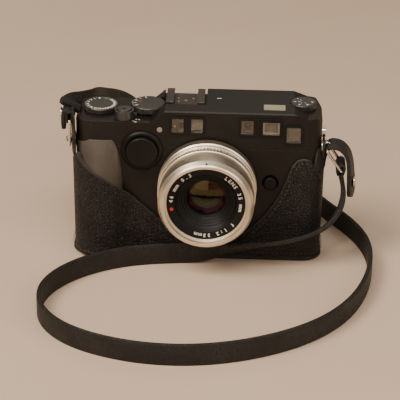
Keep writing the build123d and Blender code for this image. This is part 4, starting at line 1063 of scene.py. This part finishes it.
windowBack = paintMaterial("windowBack", (0.030, 0.026, 0.021), 0.3, (0.3, 0.27, 0.24), 0.5)
windowPale = paintMaterial("windowPale", (0.115, 0.095, 0.080), 0.25, (0.6, 0.55, 0.48), 0.5)
finderRim = paintMaterial("finderRim", (0.55, 0.50, 0.43), 0.3, (0.7, 0.65, 0.55), 0.3)
for name, x, z, width, height, material in (
        ("af_pan_left", -11.7, 82.4, 6.3, 8.1, windowBack), ("meter_pan", -0.8, 82.4, 6.3, 8.1, windowPale),
        ("af_pan_right", 27.3, 82.4, 6.7, 8.1, windowBack), ("light_pan", 53.4, 78.4, 7.6, 9.0, windowPale)):
    windowPan(name, x, z, width, height, -15.1, material)
windowPan("finder_pan", 40.7, 82.0, 9.3, 7.3, -15.4, finderRim, lip=0.9)
windowPan("finder_glow", 40.7, 82.0, 7.4, 5.4, -15.75, windowPale, lip=0.6)
print("stage: window details")


# Printed marks on the dials and the deck
inkDepth = 0.12


def topRingText(words, centre, radius, z, size, start, step):
    letters = []
    for index, word in enumerate(words):
        if not word:
            continue
        angle = math.radians(start + step * index)
        letter = textPiece(word, size, inkDepth)
        place = Vector((centre[0] + radius * math.cos(angle), centre[1] + radius * math.sin(angle), z)) * mm
        letter.matrix_world = Matrix.Translation(place) @ Matrix.Rotation(angle - math.pi / 2, 4, "Z")
        letters.append(settle(letter))
    return letters


def topTicks(centre, radius, z, count, start, step, long, wide):
    ticks = []
    for index in range(count):
        angle = math.radians(start + step * index)
        deselect()
        bpy.ops.mesh.primitive_cube_add(size=1)
        tick = bpy.context.object
        tick.scale = (long * mm, wide * mm, inkDepth * mm)
        tick.location = Vector((centre[0] + radius * math.cos(angle), centre[1] + radius * math.sin(angle),
            z)) * mm
        tick.rotation_euler = (0, 0, angle)
        settle(tick)
        addModifier(tick, "BEVEL", width=0.03 * mm, segments=1)
        ticks.append(applyAll(tick))
    return ticks


def printed(name, parts, material, body):
    mark = joinAs(name, parts)
    setMaterial(mark, material)
    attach(mark, body)
    return mark


speedCentre, exposureCentre, driveCentre = (-56.0, 0.9), (-29.2, 1.2), (58.6, 0.5)
speedWords = ["60", "30", "15", "8", "4", "2", "1", "B", "", "", "6000", "4000", "2000", "1000", "500", "250",
    "125"]
printed("speed_dial_numbers", topRingText(speedWords, speedCentre, 7.5, 87.0, 2.0, 250, -360 / 17)
        + topTicks(speedCentre, 8.8, 87.0, 34, 250, -360 / 34, 0.5, 0.22), whiteInk, "speed_dial")
printed("speed_dial_auto", topRingText(["A"], speedCentre, 7.5, 87.02, 2.9, 72, 10)
        + topTicks(speedCentre, 7.5, 87.02, 3, 52, 7, 1.5, 0.35), greenInk, "speed_dial")
printed("exposure_dial_numbers", topRingText(["2", "1", "0", "1", "2"], exposureCentre, 7.4, 88.2, 2.1, 104,
    27)
        + topTicks(exposureCentre, 8.9, 88.2, 9, 104, 13.5, 0.6, 0.25), whiteInk, "compensation_dial")
printed("exposure_dial_red_mark", topRingText(["0"], exposureCentre, 5.0, 88.22, 2.4, 160, 10), redInk,
    "compensation_dial")
printed("drive_dial_numbers", topRingText(["1", "2", "3", "10", "0"], driveCentre, 4.9, 91.6, 1.9, 130, 56)
        + topTicks(driveCentre, 2.4, 91.6, 4, 130, 56, 1.4, 0.25), whiteInk, "drive_selector")
deckWords = topRingText(["0", "1"], (-42.0, -10.8), 8.9, 83.82, 1.9, 318, 24) + topTicks((-42.0, -10.8), 7.2,
    83.82, 2, 318, 24, 1.2, 0.3)
printed("switch_marks", deckWords, whiteInk, "camera")
printed("drive_index_mark", topTicks(driveCentre, 9.4, 88.05, 1, 255, 1, 1.4, 0.5), whiteInk, "camera")
printed("film_plane_mark", topTicks((11, 3), 0, 91.02, 1, 0, 1, 2.6, 0.5) , whiteInk, "camera")
print("stage: printed marks")



floorSet = {"size": 6.0}
deselect()
bpy.ops.mesh.primitive_plane_add(size=floorSet["size"], location=(0, 0, 0))
floor = bpy.context.object
floor.name = "floor"
floorMaterial, floorTree, floorShader, floorWhere = startMaterial("paleFloor", 0.75)
mottle = addNode(floorTree, "ShaderNodeTexNoise", {"Vector": floorWhere, "Scale": 6.0, "Detail": 5.0})
floorTree.links.new(mixNode(floorTree, mottle.outputs["Fac"], (0.55, 0.42, 0.31, 1), (0.64, 0.51, 0.39, 1)),
    floorShader.inputs["Base Color"])
setMaterial(floor, floorMaterial)


def areaLight(name, place, aim, power, size, colour):
    data = bpy.data.lights.new(name, "AREA")
    data.energy, data.size, data.color = power, size, colour
    light = bpy.data.objects.new(name, data)
    bpy.context.scene.collection.objects.link(light)
    light.location = place
    light.rotation_euler = (Vector(aim) - Vector(place)).to_track_quat("-Z", "Y").to_euler()


areaLight("frontLight", (-0.35, -1.3, 0.30), (0, 0, 0.04), 3.5, 0.9, (1.0, 0.88, 0.74))
areaLight("keyLight", (-0.75, -0.55, 1.25), (0, 0, 0.04), 21, 0.7, (1.0, 0.88, 0.74))
areaLight("fillLight", (0.95, -0.7, 0.8), (0, 0, 0.04), 6, 0.8, (1.0, 0.90, 0.80))
areaLight("topLight", (0.05, -0.75, 1.35), (0, 0, 0.05), 9, 0.6, (1.0, 0.90, 0.79))
areaLight("backLight", (0.1, 0.9, 1.0), (0, 0, 0.05), 2.2, 0.7, (1.0, 0.90, 0.78))
world = bpy.data.worlds.new("studioWorld")
bpy.context.scene.world = world
world.use_nodes = True
world.node_tree.nodes["Background"].inputs["Color"].default_value = (0.60, 0.50, 0.42, 1)
world.node_tree.nodes["Background"].inputs["Strength"].default_value = 0.27
